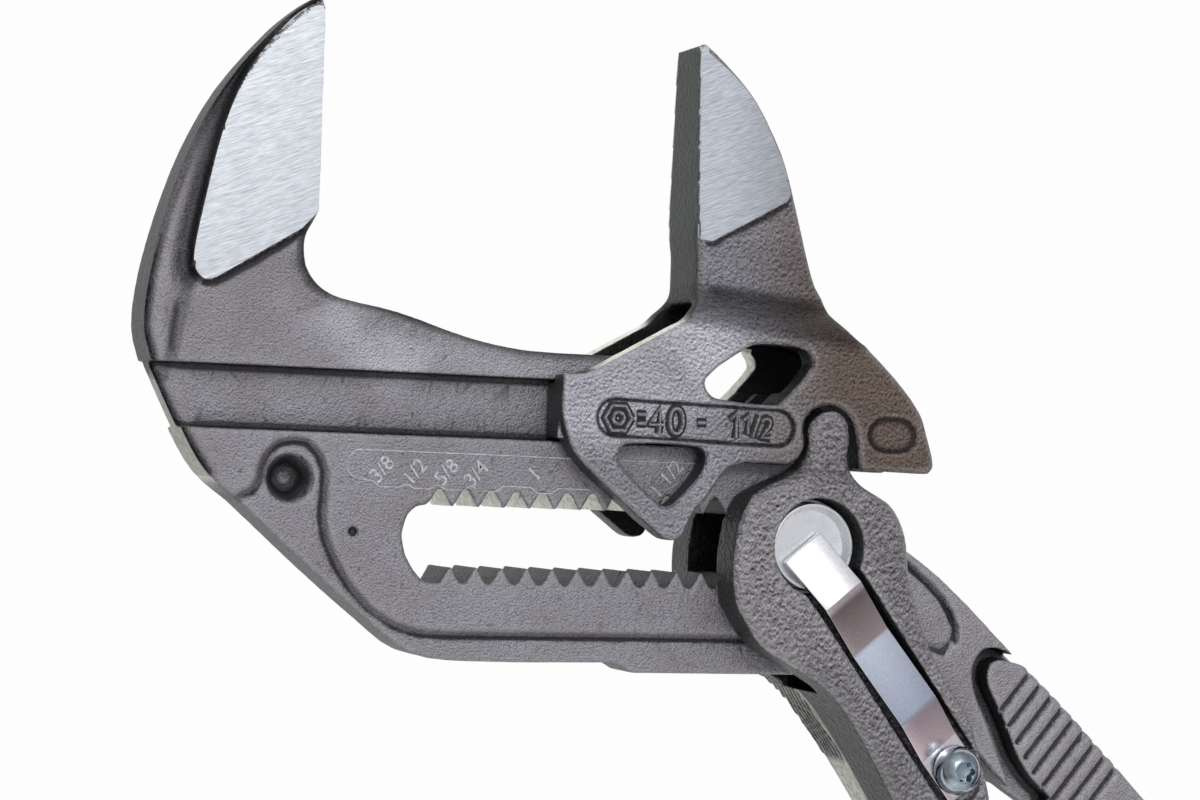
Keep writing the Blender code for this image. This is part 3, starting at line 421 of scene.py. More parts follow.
lowerRim = [
    (-8.6, -39.0), (-5.5, -37.4), (-4.9, -36.4), (-4.8, -35.1), (-4.1, -33.7), (-3.1, -32.8), (-1.8, -32.5),
    (-0.4, -32.6), (0.8, -33.7), (1.5, -35.3), (1.5, -37.7), (1.4, -39.7), (1.8, -41.9), (2.9, -44.3),
    (4.4, -46.6), (6.5, -48.8), (9.1, -50.4), (11.6, -51.1), (14.3, -51.3), (58.0, -51.3),
]
slotEnd = [
    (12.3, -38.4), (10.6, -38.9), (9.8, -40.2), (9.6, -41.6), (10.1, -43.3), (11.0, -44.8), (11.9, -45.9),
]
handlePanel = [
    (65.3, -42.9), (66.7, -43.9), (68.4, -45.2), (70.0, -46.7), (71.0, -48.2), (71.8, -49.8), (71.8, -51.2),
]
throat = [
    (-1.3, -11.4), (-1.2, -12.4), (-1.3, -15.1), (-0.5, -16.7), (1.0, -17.6), (3.8, -18.2), (6.4, -18.8),
    (11.6, -20.1), (16.8, -21.4), (21.1, -22.2), (25.4, -22.4), (30.3, -22.3),
]
sunkPanel = [(30.6, -28.95), (48.6, -29.35)]
panelRim = {"cove": 0.25, "coveWidth": 0.45, "groove": 0.3, "grooveWidth": 0.3, "grooveIn": 0.25}
toothRow = {"pitch": 1.1, "depth": 0.3, "from": 9.6, "to": 41.4, "fadeIn": 0.6, "fadeOut": 0.8}
ripple = {"bend": 0.8, "bendRate": 0.9, "slant": 0.3}

# What each forging adds to the plain one. All lines are in mm in the part's own frame.
# crisp: line, reach. shifts: line, reach, heights between which it sets in, move.
# panels: middle line, radius, floor height. ripples: line, reach, pitch, height.
# grooves: line, half width, depth. bead: line, radius. soft: line, reach, steps.
# tones: line, reach, factor that darkens or lightens near it; the dark ones in creases, rims and coves
# are painted shade. bare: line, reach, heights that it holds between.
plainForging = {
    "ground": None, "groundFrom": 0, "crisp": [], "shifts": [], "teeth": False, "panels": [],
    "ripples": None, "grooves": [], "moat": None, "bead": None, "soft": [], "shadesAndTones": [], "bare": [],
}
pieces = {
    "fixed_jaw": {
        **plainForging, "body": "fixed_jaw", "material": forgedSteel, "ground": fixedPad, "groundFrom": 2.2,
        "crisp": [([(11, -41.45), (45, -41.45)], 5.5)],
        "soft": [(lowerRim, 0.8, 5), (slotEnd, 0.9, 14)],
        "grooves": [
            ([(-13.1, -15.8), (-13.5, -18.1), (-13.9, -20.5), (-14.2, -23.0), (-14.3, -25.1)], 1.3, 0.2),
            (lowerRim, 0.8, 0.3), (handlePanel, 0.6, 0.26),
        ],
        "moat": {
            "width": 0.7, "depth": 0.45, "leftWidth": 2.9, "leftDepth": 0.8, "leftFrom": -3, "leftTo": -9,
            "shadeFrom": -3, "shadeTo": -8, "shade": 0.8, "edgeShade": 0.6,
        },
        "bead": (spine, 1.6),
        "shadesAndTones": [
            ([(3.4, -20.5), (8.4, -23.4)], 4.5, 1.45), ([(9.1, -22.4), (9.2, -22.5)], 1.7, 0.72),
            ([(14, -22.5), (24, -24)], 3.0, 1.25), ([(70, -48), (95, -78)], 14, 1.15),
            (throat, 1.3, 0.36), (throat, 0.55, 0.45), (lowerRim, 0.6, 0.5), (handlePanel, 0.5, 0.5),
            ([(-12.7, -17.0), (-14.5, -26.6)], 0.9, 0.6), (spine, 0.8, 0.55),
        ],
        "bare": [([(-14.5, -28.2), (-10.5, -35.5)], 2.5, (-9, 9)), ([(9, -37.6), (40, -37.8)], 1.9, (-9, 9))],
    },
    "sliding_jaw": {
        **plainForging, "body": "sliding_jaw", "material": slidingSteel, "ground": slidingPad,
        "groundFrom": 2.6, "teeth": True, "panels": [(sunkPanel, 2.1, 6.45)],
        "shifts": [([(52.3, -21.5), (49.0, -27.0)], 2.6, (-3.0, -3.7), (-1.8, 0.0))],
        "soft": [([(39.5, -17.6), (46, -17.4), (56.5, -18.4)], 2.8, 60), ([(40, -9), (40, -17)], 1.2, 25)],
        "shadesAndTones": [
            ([(29, -25.5), (38, -22)], 9.0, 1.5), ([(39, -20.5), (46, -20)], 4.5, 1.2),
            ([(39, -16.9), (57.5, -18.6)], 3.0, 0.36), ([(40, -12), (56, -14)], 4.0, 0.85),
        ],
        "bare": [
            ([(37.3, -18.5), (29.0, -23.2)], 1.7, (-9, 9)), ([(50.3, -21.5), (47.0, -27.0)], 2.6, (-9, -2)),
        ],
    },
    "lever": {
        **plainForging, "body": "lever", "material": leverSteel,
        "soft": [([(46, -33.6), (61, -33.6)], 3.2, 70)],
        "shifts": [([(44.2, -40.0), (43.9, -43.3), (44.4, -47.0)], 3.2, (99, 98), (-0.5, 0.0))],
        "ripples": ([(52, -55), (60, -62)], 4.0, 0.85, 0.14),
        "shadesAndTones": [
            ([(54.4, -34.5), (54.3, -31.0)], 4.5, 0.85),
            ([(59.6, -38.6), (63.7, -46.2), (65.5, -51.3)], 3.4, 0.8),
            ([(53.5, -57.5), (61.5, -67), (72, -84), (104, -138)], 6.0, 0.78),
        ],
        "bare": [([(50, -54), (60, -65), (72, -85), (102, -136)], 6.0, (-9, -1.0))],
    },
}


def edgeWay(points, outline, inside, axis=0):
    # how steeply the distance inside an outline rises along an axis, by a small step
    probe = np.zeros(3)
    probe[axis] = forging["probe"] * mm
    return (insideDistance(points + probe, outline) - inside) / forging["probe"]


def crispness(points, own):
    # 1 where edges stay crisp: on the ground pad and near the crisp lines
    crisp = np.zeros(len(points))
    if own["ground"]:
        crisp = ease(insideDistance(points, own["ground"]), -0.6, 0.0)
    for line, reach in own["crisp"]:
        crisp = np.maximum(crisp, ease(lineDistance(points, line), reach + 0.5, reach))
    return crisp


def shiftPart(points, line, reach, heights, move):
    # moves what lies near a line, and past a height, sideways
    share = ease(lineDistance(points, line), reach, 0.3) * ease(points[:, 2] / mm, *heights)
    for axis in (0, 1):
        points[:, axis] += share * move[axis] * mm


def cutTeeth(points):
    # fine serration on the upper end of the jaw
    x, y, z = points.T / mm
    step = np.abs((z / toothRow["pitch"]) % 1.0 - 0.5) * 2
    share = ease(y, toothRow["from"] - toothRow["fadeIn"], toothRow["from"])
    share = share * ease(x, toothRow["to"], toothRow["to"] - toothRow["fadeOut"])
    points[:, 1] -= share * step * toothRow["depth"] * mm


def sinkPanel(points, line, radius, floor):
    # a flat floor with a coved rim and a fine groove inside the rim
    within = radius - lineDistance(points, line)
    sunk = floor * mm + panelRim["cove"] * mm * ease(within, panelRim["coveWidth"], -0.05)
    groove = ease(np.abs(within - panelRim["grooveIn"]), panelRim["grooveWidth"], 0)
    sunk = sunk - panelRim["groove"] * mm * groove
    share = ease(within, -0.1, 0.12) * ease(np.abs(points[:, 2]) / mm, floor - 0.6, floor - 0.4)
    points[:, 2] += share * (np.sign(points[:, 2]) * sunk - points[:, 2])


def rippleWall(points, normals, line, reach, pitch, height):
    # wavy marks on a wall, behind the middle of the piece
    x, y, z = points.T / mm
    bent = z + ripple["bend"] * np.sin(x * ripple["bendRate"]) + ripple["slant"] * x
    wave = np.sin(bent * 2 * np.pi / pitch)
    share = ease(lineDistance(points, line), reach, reach * 0.5) * ease(z, -1.0, -2.0)
    share = share * (1 - ease(np.abs(normals[:, 2]), 0.2, 0.5))
    points += (share * wave * height * mm)[:, None] * normals


def digMoat(points, own, inside, front):
    # a ditch round the pad, wider and deeper on its left
    moat = own["moat"]
    left = ease(points[:, 0] / mm, moat["leftFrom"], moat["leftTo"])
    left = left * ease(edgeWay(points, own["ground"], inside), 0.35, 0.85)
    width = moat["width"] + left * (moat["leftWidth"] - moat["width"])
    depth = moat["depth"] + left * (moat["leftDepth"] - moat["depth"])
    points[:, 2] -= front * depth * mm * (1 - ease(-inside / width, 0, 1)) * ease(-inside, 0.0, 0.3)


def roundRim(points, front, line, radius):
    # the back edge falls off in a round, nearly a quarter circle
    inwards = np.clip(lineDistance(points, line), 0, radius)
    points[:, 2] -= front * mm * (radius - np.sqrt(radius ** 2 - (radius - inwards) ** 2)) * 0.8


def squarePad(points, way, outline):
    # the pad is ground after forging: dead flat, with a square edge
    inside = insideDistance(points, outline)
    slopes = [edgeWay(points, outline, inside, axis) for axis in (0, 1)]
    level = np.column_stack([np.ones(len(points)), points[:, :2]])
    for side in (1, -1):
        core = (way * side > 0.99) & (inside > 0.8)
        plane = np.linalg.lstsq(level[core], points[core, 2], rcond=None)[0]
        pad = (inside > -forging["snap"]) & (np.abs(points[:, 2] - level @ plane) < 0.4 * mm)
        points[pad, 2] = (level @ plane)[pad]
        rim = pad & (inside < forging["snap"])
        for axis in (0, 1):
            points[rim, axis] -= (inside * slopes[axis])[rim] * mm


def sculpt(mesh, own):
    # the shapes of the die that the solid leaves plain; each step builds on the ones before it
    points = readPoints(mesh).astype(float)
    pairs = edgePairs(mesh)
    normals = faceWay(mesh)
    way = normals[:, 2]
    weights = forging["rounding"] * (1 - forging["crispHold"] * crispness(points, own))
    points = relax(points, pairs, weights, forging["smoothing"])
    for shift in own["shifts"]:
        shiftPart(points, *shift)
    if own["teeth"]:
        cutTeeth(points)
    front = np.sign(points[:, 2]) * ease(np.abs(way), 0.35, 0.75)
    for panel in own["panels"]:
        sinkPanel(points, *panel)
    if own["ripples"]:
        rippleWall(points, normals, *own["ripples"])
    for line, width, depth in own["grooves"]:
        points[:, 2] -= front * depth * mm * ease(lineDistance(points, line), width, 0)
    if own["moat"]:
        inside = insideDistance(points, own["ground"])
        near = ease(-inside, 0.05, 0.15) * ease(-inside, 2.4, 1.4)
        points = relax(points, pairs, 0.6 * near, 10)
        digMoat(points, own, inside, front)
    if own["bead"]:
        roundRim(points, front, *own["bead"])
    for line, reach, steps in own["soft"]:
        weights = forging["softening"] * ease(lineDistance(points, line), reach, reach * 0.4)
        points = relax(points, pairs, weights, steps)
    if own["ground"]:
        squarePad(points, way, own["ground"])
    if own["moat"]:
        points = relax(points, pairs, 0.6 * ease(-inside, 0.1, 0.2) * ease(-inside, 4.0, 3.0), 12)
    mesh.vertices.foreach_set("co", points.astype(np.float32).ravel())
    mesh.update()


def sharpenPad(mesh):
    # hard shading where a face of the pad meets any other face
    ground = np.empty(len(mesh.vertices), np.float32)
    mesh.attributes["ground"].data.foreach_get("value", ground)
    corners = np.empty((3, len(mesh.loops)), np.int32)
    mesh.loops.foreach_get("vertex_index", corners[0])
    mesh.loops.foreach_get("edge_index", corners[1])
    sizes = np.empty(len(mesh.polygons), np.int32)
    mesh.polygons.foreach_get("loop_total", sizes)
    faces = np.repeat(np.arange(len(sizes)), sizes)
    normals = np.empty(len(sizes) * 3, np.float32)
    mesh.polygons.foreach_get("normal", normals)
    whole = np.bincount(faces, ground[corners[0]] > 0.47) == sizes
    pad = whole & (np.abs(normals.reshape(-1, 3)[:, 2]) > 0.93)
    beside = np.bincount(corners[1], pad[faces], minlength=len(mesh.edges))
    kept = mesh.attributes.get("sharp_edge") or mesh.attributes.new("sharp_edge", "BOOLEAN", "EDGE")
    kept.data.foreach_set("value", beside == 1)


def paint(mesh, own):
    # what the material reads at each vertex; returns how freely each may be thinned: 0, 1 or 2
    points = readPoints(mesh)
    normals = faceWay(mesh)
    way = np.abs(normals[:, 2])
    height = points[:, 2] / mm
    bare = np.zeros(len(points))
    for line, reach, (low, high) in own["bare"]:
        level = ease(height, low - 0.3, low + 0.3) * ease(height, high + 0.3, high - 0.3)
        bare = np.maximum(bare, level * ease(lineDistance(points, line), reach, reach * 0.4))
    shadeAndTone = np.ones(len(points))
    lifted = bulge(mesh, forging["blurSteps"]) / (forging["bulgeSpan"] * mm)
    # painted shade: darker down the moat on the pad's left, with a dark line round the pad
    if own["moat"]:
        moat = own["moat"]
        inside = insideDistance(points, own["ground"])
        shaded = ease(-inside, moat["leftWidth"], 0.3) * ease(-inside, -0.1, 0.1)
        shaded = shaded * ease(edgeWay(points, own["ground"], inside), 0.35, 0.85)
        shaded = shaded * ease(points[:, 0] / mm, moat["shadeFrom"], moat["shadeTo"])
        shadeAndTone -= moat["shade"] * shaded
        shadeAndTone *= 1 - moat["edgeShade"] * ease(-inside, 0.8, 0.35) * ease(-inside, -0.05, 0.05)
        lifted = np.where(shaded > 0.02, np.maximum(lifted, 0), lifted)
    # darker or lighter along the listed lines; the dark ones in creases, rims and coves are painted shade
    for line, reach, factor in own["shadesAndTones"]:
        shadeAndTone *= 1 + (factor - 1) * ease(lineDistance(points, line), reach, reach * 0.45)
    ground = np.full(len(points), -9.0)
    if own["ground"]:
        onPad = (np.abs(points[:, 2]) > own["groundFrom"] * mm) & (way > 0.4)
        ground = np.where(onPad, insideDistance(points, own["ground"]), -9.0)
    side = 1 - ease(way, 0.15, 0.6)
    # side marks walls, whose colour is painted shade; inner marks inward faces, which get painted shade
    painted = {
        "ground": np.clip(ground + 0.5, 0, 1), "rough": np.where(ground > -0.3, 0.0, 1.0),
        "bulge": np.clip(0.5 + lifted / 2, 0, 1), "side": side, "bare": bare * side,
        "inner": ease(normals[:, 2] * np.sign(points[:, 2]), -0.3, -0.6), "shadeAndTone": shadeAndTone,
    }
    for name, values in painted.items():
        setAttribute(mesh, name, values)
    return np.where(ground > -1.5, 0, np.where((shadeAndTone < 0.97) | (np.abs(lifted) > 0.25), 1, 2))


def thinOut(piece, freedom, ratio):
    # fewer triangles where the skin is plain, none fewer on the pad
    group = piece.vertex_groups.new(name="flat")
    for k, level in enumerate((0.0, 0.25, 1.0)):
        group.add(np.flatnonzero(freedom == k).tolist(), level, "REPLACE")
    thin = piece.modifiers.new("thin", "DECIMATE")
    thin.ratio = ratio
    thin.vertex_group = group.name
    thin.vertex_group_factor = 1.0


def forge(node, own):
    piece = mergedCopy(node, node + "_forging", flat=False)
    remesh = piece.modifiers.new("remesh", "REMESH")
    remesh.mode = "VOXEL"
    remesh.voxel_size = forging["voxel"] * mm
    bake(piece)
    sculpt(piece.data, own)
    freedom = paint(piece.data, own)
    skin = {label: size * mm for label, size in forging["skin"].items()}
    useTree(piece, skinTree, {**skin, "Material": own["material"]})
    triangles = len(piece.data.polygons) * 2
    if triangles > forging["mostTriangles"]:
        thinOut(piece, freedom, forging["mostTriangles"] / triangles)
    bake(piece)
    if own["ground"]:
        sharpenPad(piece.data)
    hand(piece, node, own["body"])
    print("forged:", node, triangles, "->", len(piece.data.polygons))


for node, own in pieces.items():
    forge(node, own)


# Zinc-plated and blue-passivated machined steel: bright and faintly blue, with a fine uneven skin
zincLook = {
    "colour": [(0.3, "#eef3f5"), (0.7, "#ffffff")], "rough": [(0.3, 0.23), (0.7, 0.37)], "metallic": 0.3,
    "cloud": (1.2, 4, 0.6), "fine": (0.25, 2, 0.5), "fineDepth": 0.01,
}
screwLook = {
    **zincLook, "colour": [(0.3, "#8f9da5"), (0.7, "#bcc9d0")], "rough": [(0.3, 0.09), (0.7, 0.23)],
    "metallic": 1.0,
}


def makeZincMaterial(name, look):
    material, tree, shader = newMaterial(name)
    place = addNode(tree, "ShaderNodeTexCoord").outputs["Object"]
    cloud = addNode(tree, "ShaderNodeTexNoise", blotches(place, *look["cloud"])).outputs["Fac"]
    for socket, stops in (("Base Color", look["colour"]), ("Roughness", look["rough"])):
        ramp = addNode(tree, "ShaderNodeValToRGB", {"Fac": cloud}, stops)
        tree.links.new(ramp.outputs["Color"], shader.inputs[socket])
    shader.inputs["Metallic"].default_value = look["metallic"]
    fine = addNode(tree, "ShaderNodeTexNoise", blotches(place, *look["fine"])).outputs["Fac"]
    bump = {"Height": fine, "Distance": look["fineDepth"] * mm, "Strength": 0.6}
    bump = addNode(tree, "ShaderNodeBump", bump)
    tree.links.new(bump.outputs["Normal"], shader.inputs["Normal"])
    return material


# Cold-rolled spring strip, tumbled: smooth and bright, with a faint satin grain, and painted reflections
# that change at each bend; "along" runs from 0 at the bolt to 1 at the screw
springLook = {
    "paintedReflection": [
        (0.0, "#ffffff"), (0.225, "#e6e1e3"), (0.245, "#9a8f90"), (0.415, "#d2c9cb"), (0.425, "#f2f7ff"),
        (0.735, "#cdd3e2"), (0.745, "#d3c5cd"), (0.9, "#fbeff2"),
    ],
    "satin": (0.3, 4, 0.7), "satinDepth": 0.008, "shade": [(0.3, 0.86), (0.7, 1.0)],
    "rough": [(0.3, 0.16), (0.7, 0.28)],
}


def makeSpringMaterial(look):
    material, tree, shader = newMaterial("coldRolledSpringStrip")
    place = addNode(tree, "ShaderNodeTexCoord").outputs["Object"]
    along = addNode(tree, "ShaderNodeAttribute", attribute_name="along").outputs["Fac"]
    satin = addNode(tree, "ShaderNodeTexNoise", blotches(place, *look["satin"])).outputs["Fac"]
    ramp = {}
    for label, field in (("shade", satin), ("paintedReflection", along), ("rough", satin)):
        ramp[label] = addNode(tree, "ShaderNodeValToRGB", {"Fac": field}, look[label]).outputs["Color"]
    shaded = {0: 1.0, 6: ramp["paintedReflection"], 7: ramp["shade"]}
    shaded = addNode(tree, "ShaderNodeMix", shaded, data_type="RGBA", blend_type="MULTIPLY").outputs[2]
    tree.links.new(shaded, shader.inputs["Base Color"])
    tree.links.new(ramp["rough"], shader.inputs["Roughness"])
    shader.inputs["Metallic"].default_value = 1.0
    bump = {"Height": satin, "Distance": look["satinDepth"] * mm, "Strength": 0.5}
    bump = addNode(tree, "ShaderNodeBump", bump)
    tree.links.new(bump.outputs["Normal"], shader.inputs["Normal"])
    return material


# Dipped PVC sleeve: soft matt plastic with an orange-peel skin
sleeveLook = {
    "cloud": (14, 2, 0.5), "colour": [(0.3, "#1b1c20"), (0.7, "#26272c")],
    "peel": (0.9, 2, 0.4), "peelDepth": 0.03, "rough": [(0.3, 0.42), (0.7, 0.58)], "ior": 1.52,
}


def makeSleeveMaterial(look):
    material, tree, shader = newMaterial("dippedVinyl")
    place = addNode(tree, "ShaderNodeTexCoord").outputs["Object"]
    peel = addNode(tree, "ShaderNodeTexNoise", blotches(place, *look["peel"])).outputs["Fac"]
    cloud = addNode(tree, "ShaderNodeTexNoise", blotches(place, *look["cloud"])).outputs["Fac"]
    for socket, field, stops in (("Base Color", cloud, look["colour"]), ("Roughness", peel, look["rough"])):
        ramp = addNode(tree, "ShaderNodeValToRGB", {"Fac": field}, stops)
        tree.links.new(ramp.outputs["Color"], shader.inputs[socket])
    shader.inputs["IOR"].default_value = look["ior"]
    bump = {"Height": peel, "Distance": look["peelDepth"] * mm, "Strength": 0.6}
    bump = addNode(tree, "ShaderNodeBump", bump)
    tree.links.new(bump.outputs["Normal"], shader.inputs["Normal"])
    return material


zincPlated = makeZincMaterial("zincPlatedSteel", zincLook)
zincBright = makeZincMaterial("zincPlatedScrew", screwLook)
springStrip = makeSpringMaterial(springLook)
dippedVinyl = makeSleeveMaterial(sleeveLook)

machined = {
    "locking_bolt": {"body": "locking_bolt", "material": zincPlated, "slot": "zinc_steel", "edge": 0.12},
    "bolt_bush": {"body": "bolt_bush", "material": zincPlated, "slot": "zinc_steel", "edge": 0.06},
    "release_button": {"body": "locking_bolt", "material": zincPlated, "slot": "zinc_steel", "edge": 0.12},
    "spring_screw": {"body": "lever", "material": zincBright, "slot": "zinc_steel", "edge": 0.1},
    "leaf_spring": {"body": "leaf_spring", "material": springStrip, "slot": "spring_steel", "edge": 0.08},
    "fixed_handle_sleeve": {
        "body": "fixed_jaw", "material": dippedVinyl, "slot": "dipped_sleeve", "edge": 0.3,
    },
    "lever_handle_sleeve": {"body": "lever", "material": dippedVinyl, "slot": "dipped_sleeve", "edge": 0.3},
}


leaf = {"start": (51.7, -41.5), "end": (70.6, -64.6), "cuts": 60}  # ends in mm


def cutAcross(mesh):
    # cuts the strip across, and stores how far along it each vertex lies, for the painted reflection of each
    # bent stretch
    start, end = (Vector((*leaf[label], 0)) * mm for label in ("start", "end"))
    shape = bmesh.new()
    shape.from_mesh(mesh)
    for k in range(1, leaf["cuts"]):
        everything = shape.verts[:] + shape.edges[:] + shape.faces[:]
        place = start.lerp(end, k / leaf["cuts"] + 0.0001)
        bmesh.ops.bisect_plane(shape, geom=everything, plane_co=place, plane_no=end - start)
    shape.to_mesh(mesh)
    shape.free()
    way = np.array((end - start)[:2])
    along = (readPoints(mesh)[:, :2] - np.array(start[:2])) @ way / (way @ way)
    setAttribute(mesh, "along", np.clip(along, 0, 1))


def machine(node, own):
    # a machined piece: the same solid with its edges broken
    piece = mergedCopy(node, node + "_finished")
    bevel = piece.modifiers.new("edge", "BEVEL")
    bevel.width = own["edge"] * mm
    bevel.segments = 2
    bevel.limit_method = "ANGLE"
    bevel.angle_limit = math.radians(28)
    bevel.use_clamp_overlap = True
    bake(piece)
    piece.data.shade_smooth()
    piece.data.set_sharp_from_angle(angle=math.radians(40))
    piece.data.materials.clear()
    piece.data.materials.append(own["material"])
    if node == "leaf_spring":
        cutAcross(piece.data)
    hand(piece, node, own["body"])
    return piece


for node, own in machined.items():
    machine(node, own)
print("machined pieces:", len(machined))


# Raised figures in the panel, and figures etched beside the rack: plain sizes. Lengths in mm
marks = {
    "raised": {
        "body": "sliding_jaw", "z": 6.5, "rise": 0.42, "width": 0.4,
        "figures": [
            ("nut", 30.95, -29.0, 1.0), ("=", 33.0, -29.0, 2.7), ("4", 34.25, -29.05, 2.6),
            ("0", 36.55, -29.05, 2.6), ("-", 39.6, -29.1, 2.6), ("1", 43.3, -29.2, 2.6),
            ("1", 44.75, -29.1, 2.0), ("/", 45.75, -29.25, 2.3), ("2", 46.75, -29.4, 2.0),
        ],
    },
    "paintedShade": {"rise": 0.1, "width": 0.95},
    "etched": {
        "body": "fixed_jaw", "z": 3.5, "rise": 0.07, "size": 2.15, "bolden": 0.01, "turn": 50,
        "figures": [
            ("3/8", 7.3, -35.0), ("1/2", 10.7, -35.15), ("5/8", 14.0, -35.1), ("3/4", 17.1, -35.15),
            ("1", 23.3, -34.95), ("1 1/2", 37.7, -35.0),
        ],
    },
    "outline": {
        "body": "fixed_jaw", "z": 3.5, "Line Width": 0.13, "Line Height": 0.15, "Corner Radius": 0.4,
        "corners": [
            (41.2, -33.3), (4.67, -33.10), (3.90, -33.75), (3.62, -34.68), (3.97, -35.60), (5.09, -36.02),
            (6.36, -36.13), (7.1, -36.7), (9.3, -36.7), (9.9, -36.15), (10.5, -36.75), (12.4, -36.8),
            (13.0, -36.2), (13.9, -36.8), (15.9, -36.8), (16.6, -36.2), (17.3, -36.8), (19.3, -36.8),
            (20.0, -36.25), (23.0, -36.3), (23.6, -36.85), (25.2, -36.85), (25.9, -36.3), (29.4, -36.33),
        ],
    },
}
strokes = {
    "nut": [[(1.45 * math.cos(k * math.pi / 3), 1.45 * math.sin(k * math.pi / 3)) for k in range(7)],
            [(0.6 * math.cos(k * math.pi / 8), 0.6 * math.sin(k * math.pi / 8)) for k in range(17)]],
    "=": [[(0, 0.17), (0.36, 0.17)], [(0, -0.15), (0.36, -0.15)]],
    "4": [[(0.45, -0.5), (0.45, 0.5), (0.0, -0.18), (0.64, -0.18)]],
    "0": [[(0.28 - 0.28 * math.cos(k * math.pi / 8), 0.5 * math.sin(k * math.pi / 8)) for k in range(17)]],
    "-": [[(0, 0), (0.4, 0)]],
    "1": [[(0.0, 0.2), (0.24, 0.5), (0.24, -0.5)]],
    "/": [[(0, -0.5), (0.34, 0.5)]],
    "2": [[(0.03, 0.28), (0.12, 0.45), (0.28, 0.5), (0.45, 0.43), (0.5, 0.25), (0.42, 0.05), (0, -0.5),
           (0.54, -0.5)]],
}


def addStroke(curve, corners):
    spline = curve.splines.new("POLY")
    spline.points.add(len(corners) - 1)
    for point, (x, y) in zip(spline.points, corners):
        point.co = (x * mm, y * mm, 0, 1)


def meshOf(curve, tree=None, values=None):
    # a curve as a plain mesh, with a tree's work on it where one is given
    item = bpy.data.objects.new(curve.name, curve)
    bpy.context.scene.collection.objects.link(item)
    if tree:
        useTree(item, tree, values)
    graph = bpy.context.evaluated_depsgraph_get()
    mesh = bpy.data.meshes.new_from_object(item.evaluated_get(graph))
    bpy.data.objects.remove(item)
    return mesh


def addMark(name, mesh, own, material):
    piece = bpy.data.objects.new(name, mesh)
    bpy.context.scene.collection.objects.link(piece)
    mesh.materials.clear()
    mesh.materials.append(material)
    count = len(mesh.vertices)
    setAttribute(mesh, "bulge", np.full(count, 0.5))
    setAttribute(mesh, "shadeAndTone", np.full(count, 1.1))
    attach(piece, own["body"])


def addRaised(name, own, material):
    # cast figures: rounded ridges along drawn strokes
    curve = bpy.data.curves.new(name, "CURVE")
    curve.dimensions = "3D"
    for key, x, y, size in own["figures"]:
        for corners in strokes[key]:
            addStroke(curve, [(x + px * size, y + py * size) for px, py in corners])
    curve.bevel_depth = own["width"] / 2 * mm
    curve.bevel_resolution = 3
    curve.use_fill_caps = True
    mesh = meshOf(curve)
    flatten = Matrix.Diagonal((1, 1, own["rise"] * 2 / own["width"], 1))
    mesh.transform(Matrix.Translation((0, 0, own["z"] * mm)) @ flatten)
    mesh.shade_smooth()
    addMark(name, mesh, own, material)


def addEtched(name, own, material):
    shape = bmesh.new()
    turn = Matrix.Rotation(math.radians(own["turn"]), 4, "Z")
    for text, x, y in own["figures"]:
        curve = bpy.data.curves.new("figure", "FONT")
        curve.body = text
        curve.size = own["size"] * mm
        curve.align_x = "CENTER"
        curve.align_y = "CENTER"
        curve.extrude = own["rise"] / 2 * mm
        curve.offset = own["bolden"] * mm
        curve.resolution_u = 4
        mesh = meshOf(curve)
        mesh.transform(Matrix.Translation(Vector((x, y, own["z"] + own["rise"] / 2)) * mm) @ turn)
        shape.from_mesh(mesh)
    mesh = bpy.data.meshes.new(name)
    shape.to_mesh(mesh)
    shape.free()
    addMark(name, mesh, own, material)


def makeLineTree():
    # Geometry Nodes: a fine strip along a drawn outline
    tree, given = newTree("etchedLine", ("Line Width", "Line Height", "Corner Radius"))
    sides = {"Width": given["Line Width"], "Height": given["Line Height"]}
    profile = addNode(tree, "GeometryNodeCurvePrimitiveQuadrilateral", sides).outputs[0]
    rounded = {"Curve": given["Geometry"], "Radius": given["Corner Radius"]}
    rounded = addNode(tree, "GeometryNodeFilletCurve", rounded).outputs[0]
    line = addNode(tree, "GeometryNodeCurveToMesh", {"Curve": rounded, "Profile Curve": profile})
    return closeTree(tree, given, line.outputs[0])


def addEtchedOutline(name, own, material):
    curve = bpy.data.curves.new(name, "CURVE")
    curve.dimensions = "3D"
    addStroke(curve, own["corners"])
    values = {label: own[label] * mm for label in ("Line Width", "Line Height", "Corner Radius")}
    mesh = meshOf(curve, makeLineTree(), {**values, "Material": material})
    mesh.transform(Matrix.Translation((0, 0, own["z"] * mm)))
    addMark(name, mesh, own, material)


# Painted shade round the raised figures: a dark, matt forged-steel strip under them that reads as their dark
# edge
figureShadeLook = {"mottle": (0.4, 3, 0.6), "colour": [(0.3, "#1c1b1a"), (0.7, "#383635")], "roughness": 0.7}
# Laser-etched lines: the skin burnt off to pale bare metal
etchedLook = {
    "mottle": (0.5, 3, 0.7), "colour": [(0.3, "#a3a2a6"), (0.62, "#e4e4e7")], "roughness": 0.5,
    "metallic": 0.3,
}


def makeMarkMaterial(name, look):
    material, tree, shader = newMaterial(name)
    place = addNode(tree, "ShaderNodeTexCoord").outputs["Object"]
    mottle = addNode(tree, "ShaderNodeTexNoise", blotches(place, *look["mottle"])).outputs["Fac"]
    colour = addNode(tree, "ShaderNodeValToRGB", {"Fac": mottle}, look["colour"])
    tree.links.new(colour.outputs["Color"], shader.inputs["Base Color"])
    shader.inputs["Roughness"].default_value = look["roughness"]
    shader.inputs["Metallic"].default_value = look.get("metallic", 0.0)
    return material


figureShadeSteel = makeMarkMaterial("paintedShadeRoundFigures", figureShadeLook)
etchedSteel = makeMarkMaterial("laserEtchedSteel", etchedLook)
addRaised("raisedFigures", marks["raised"], slidingSteel)
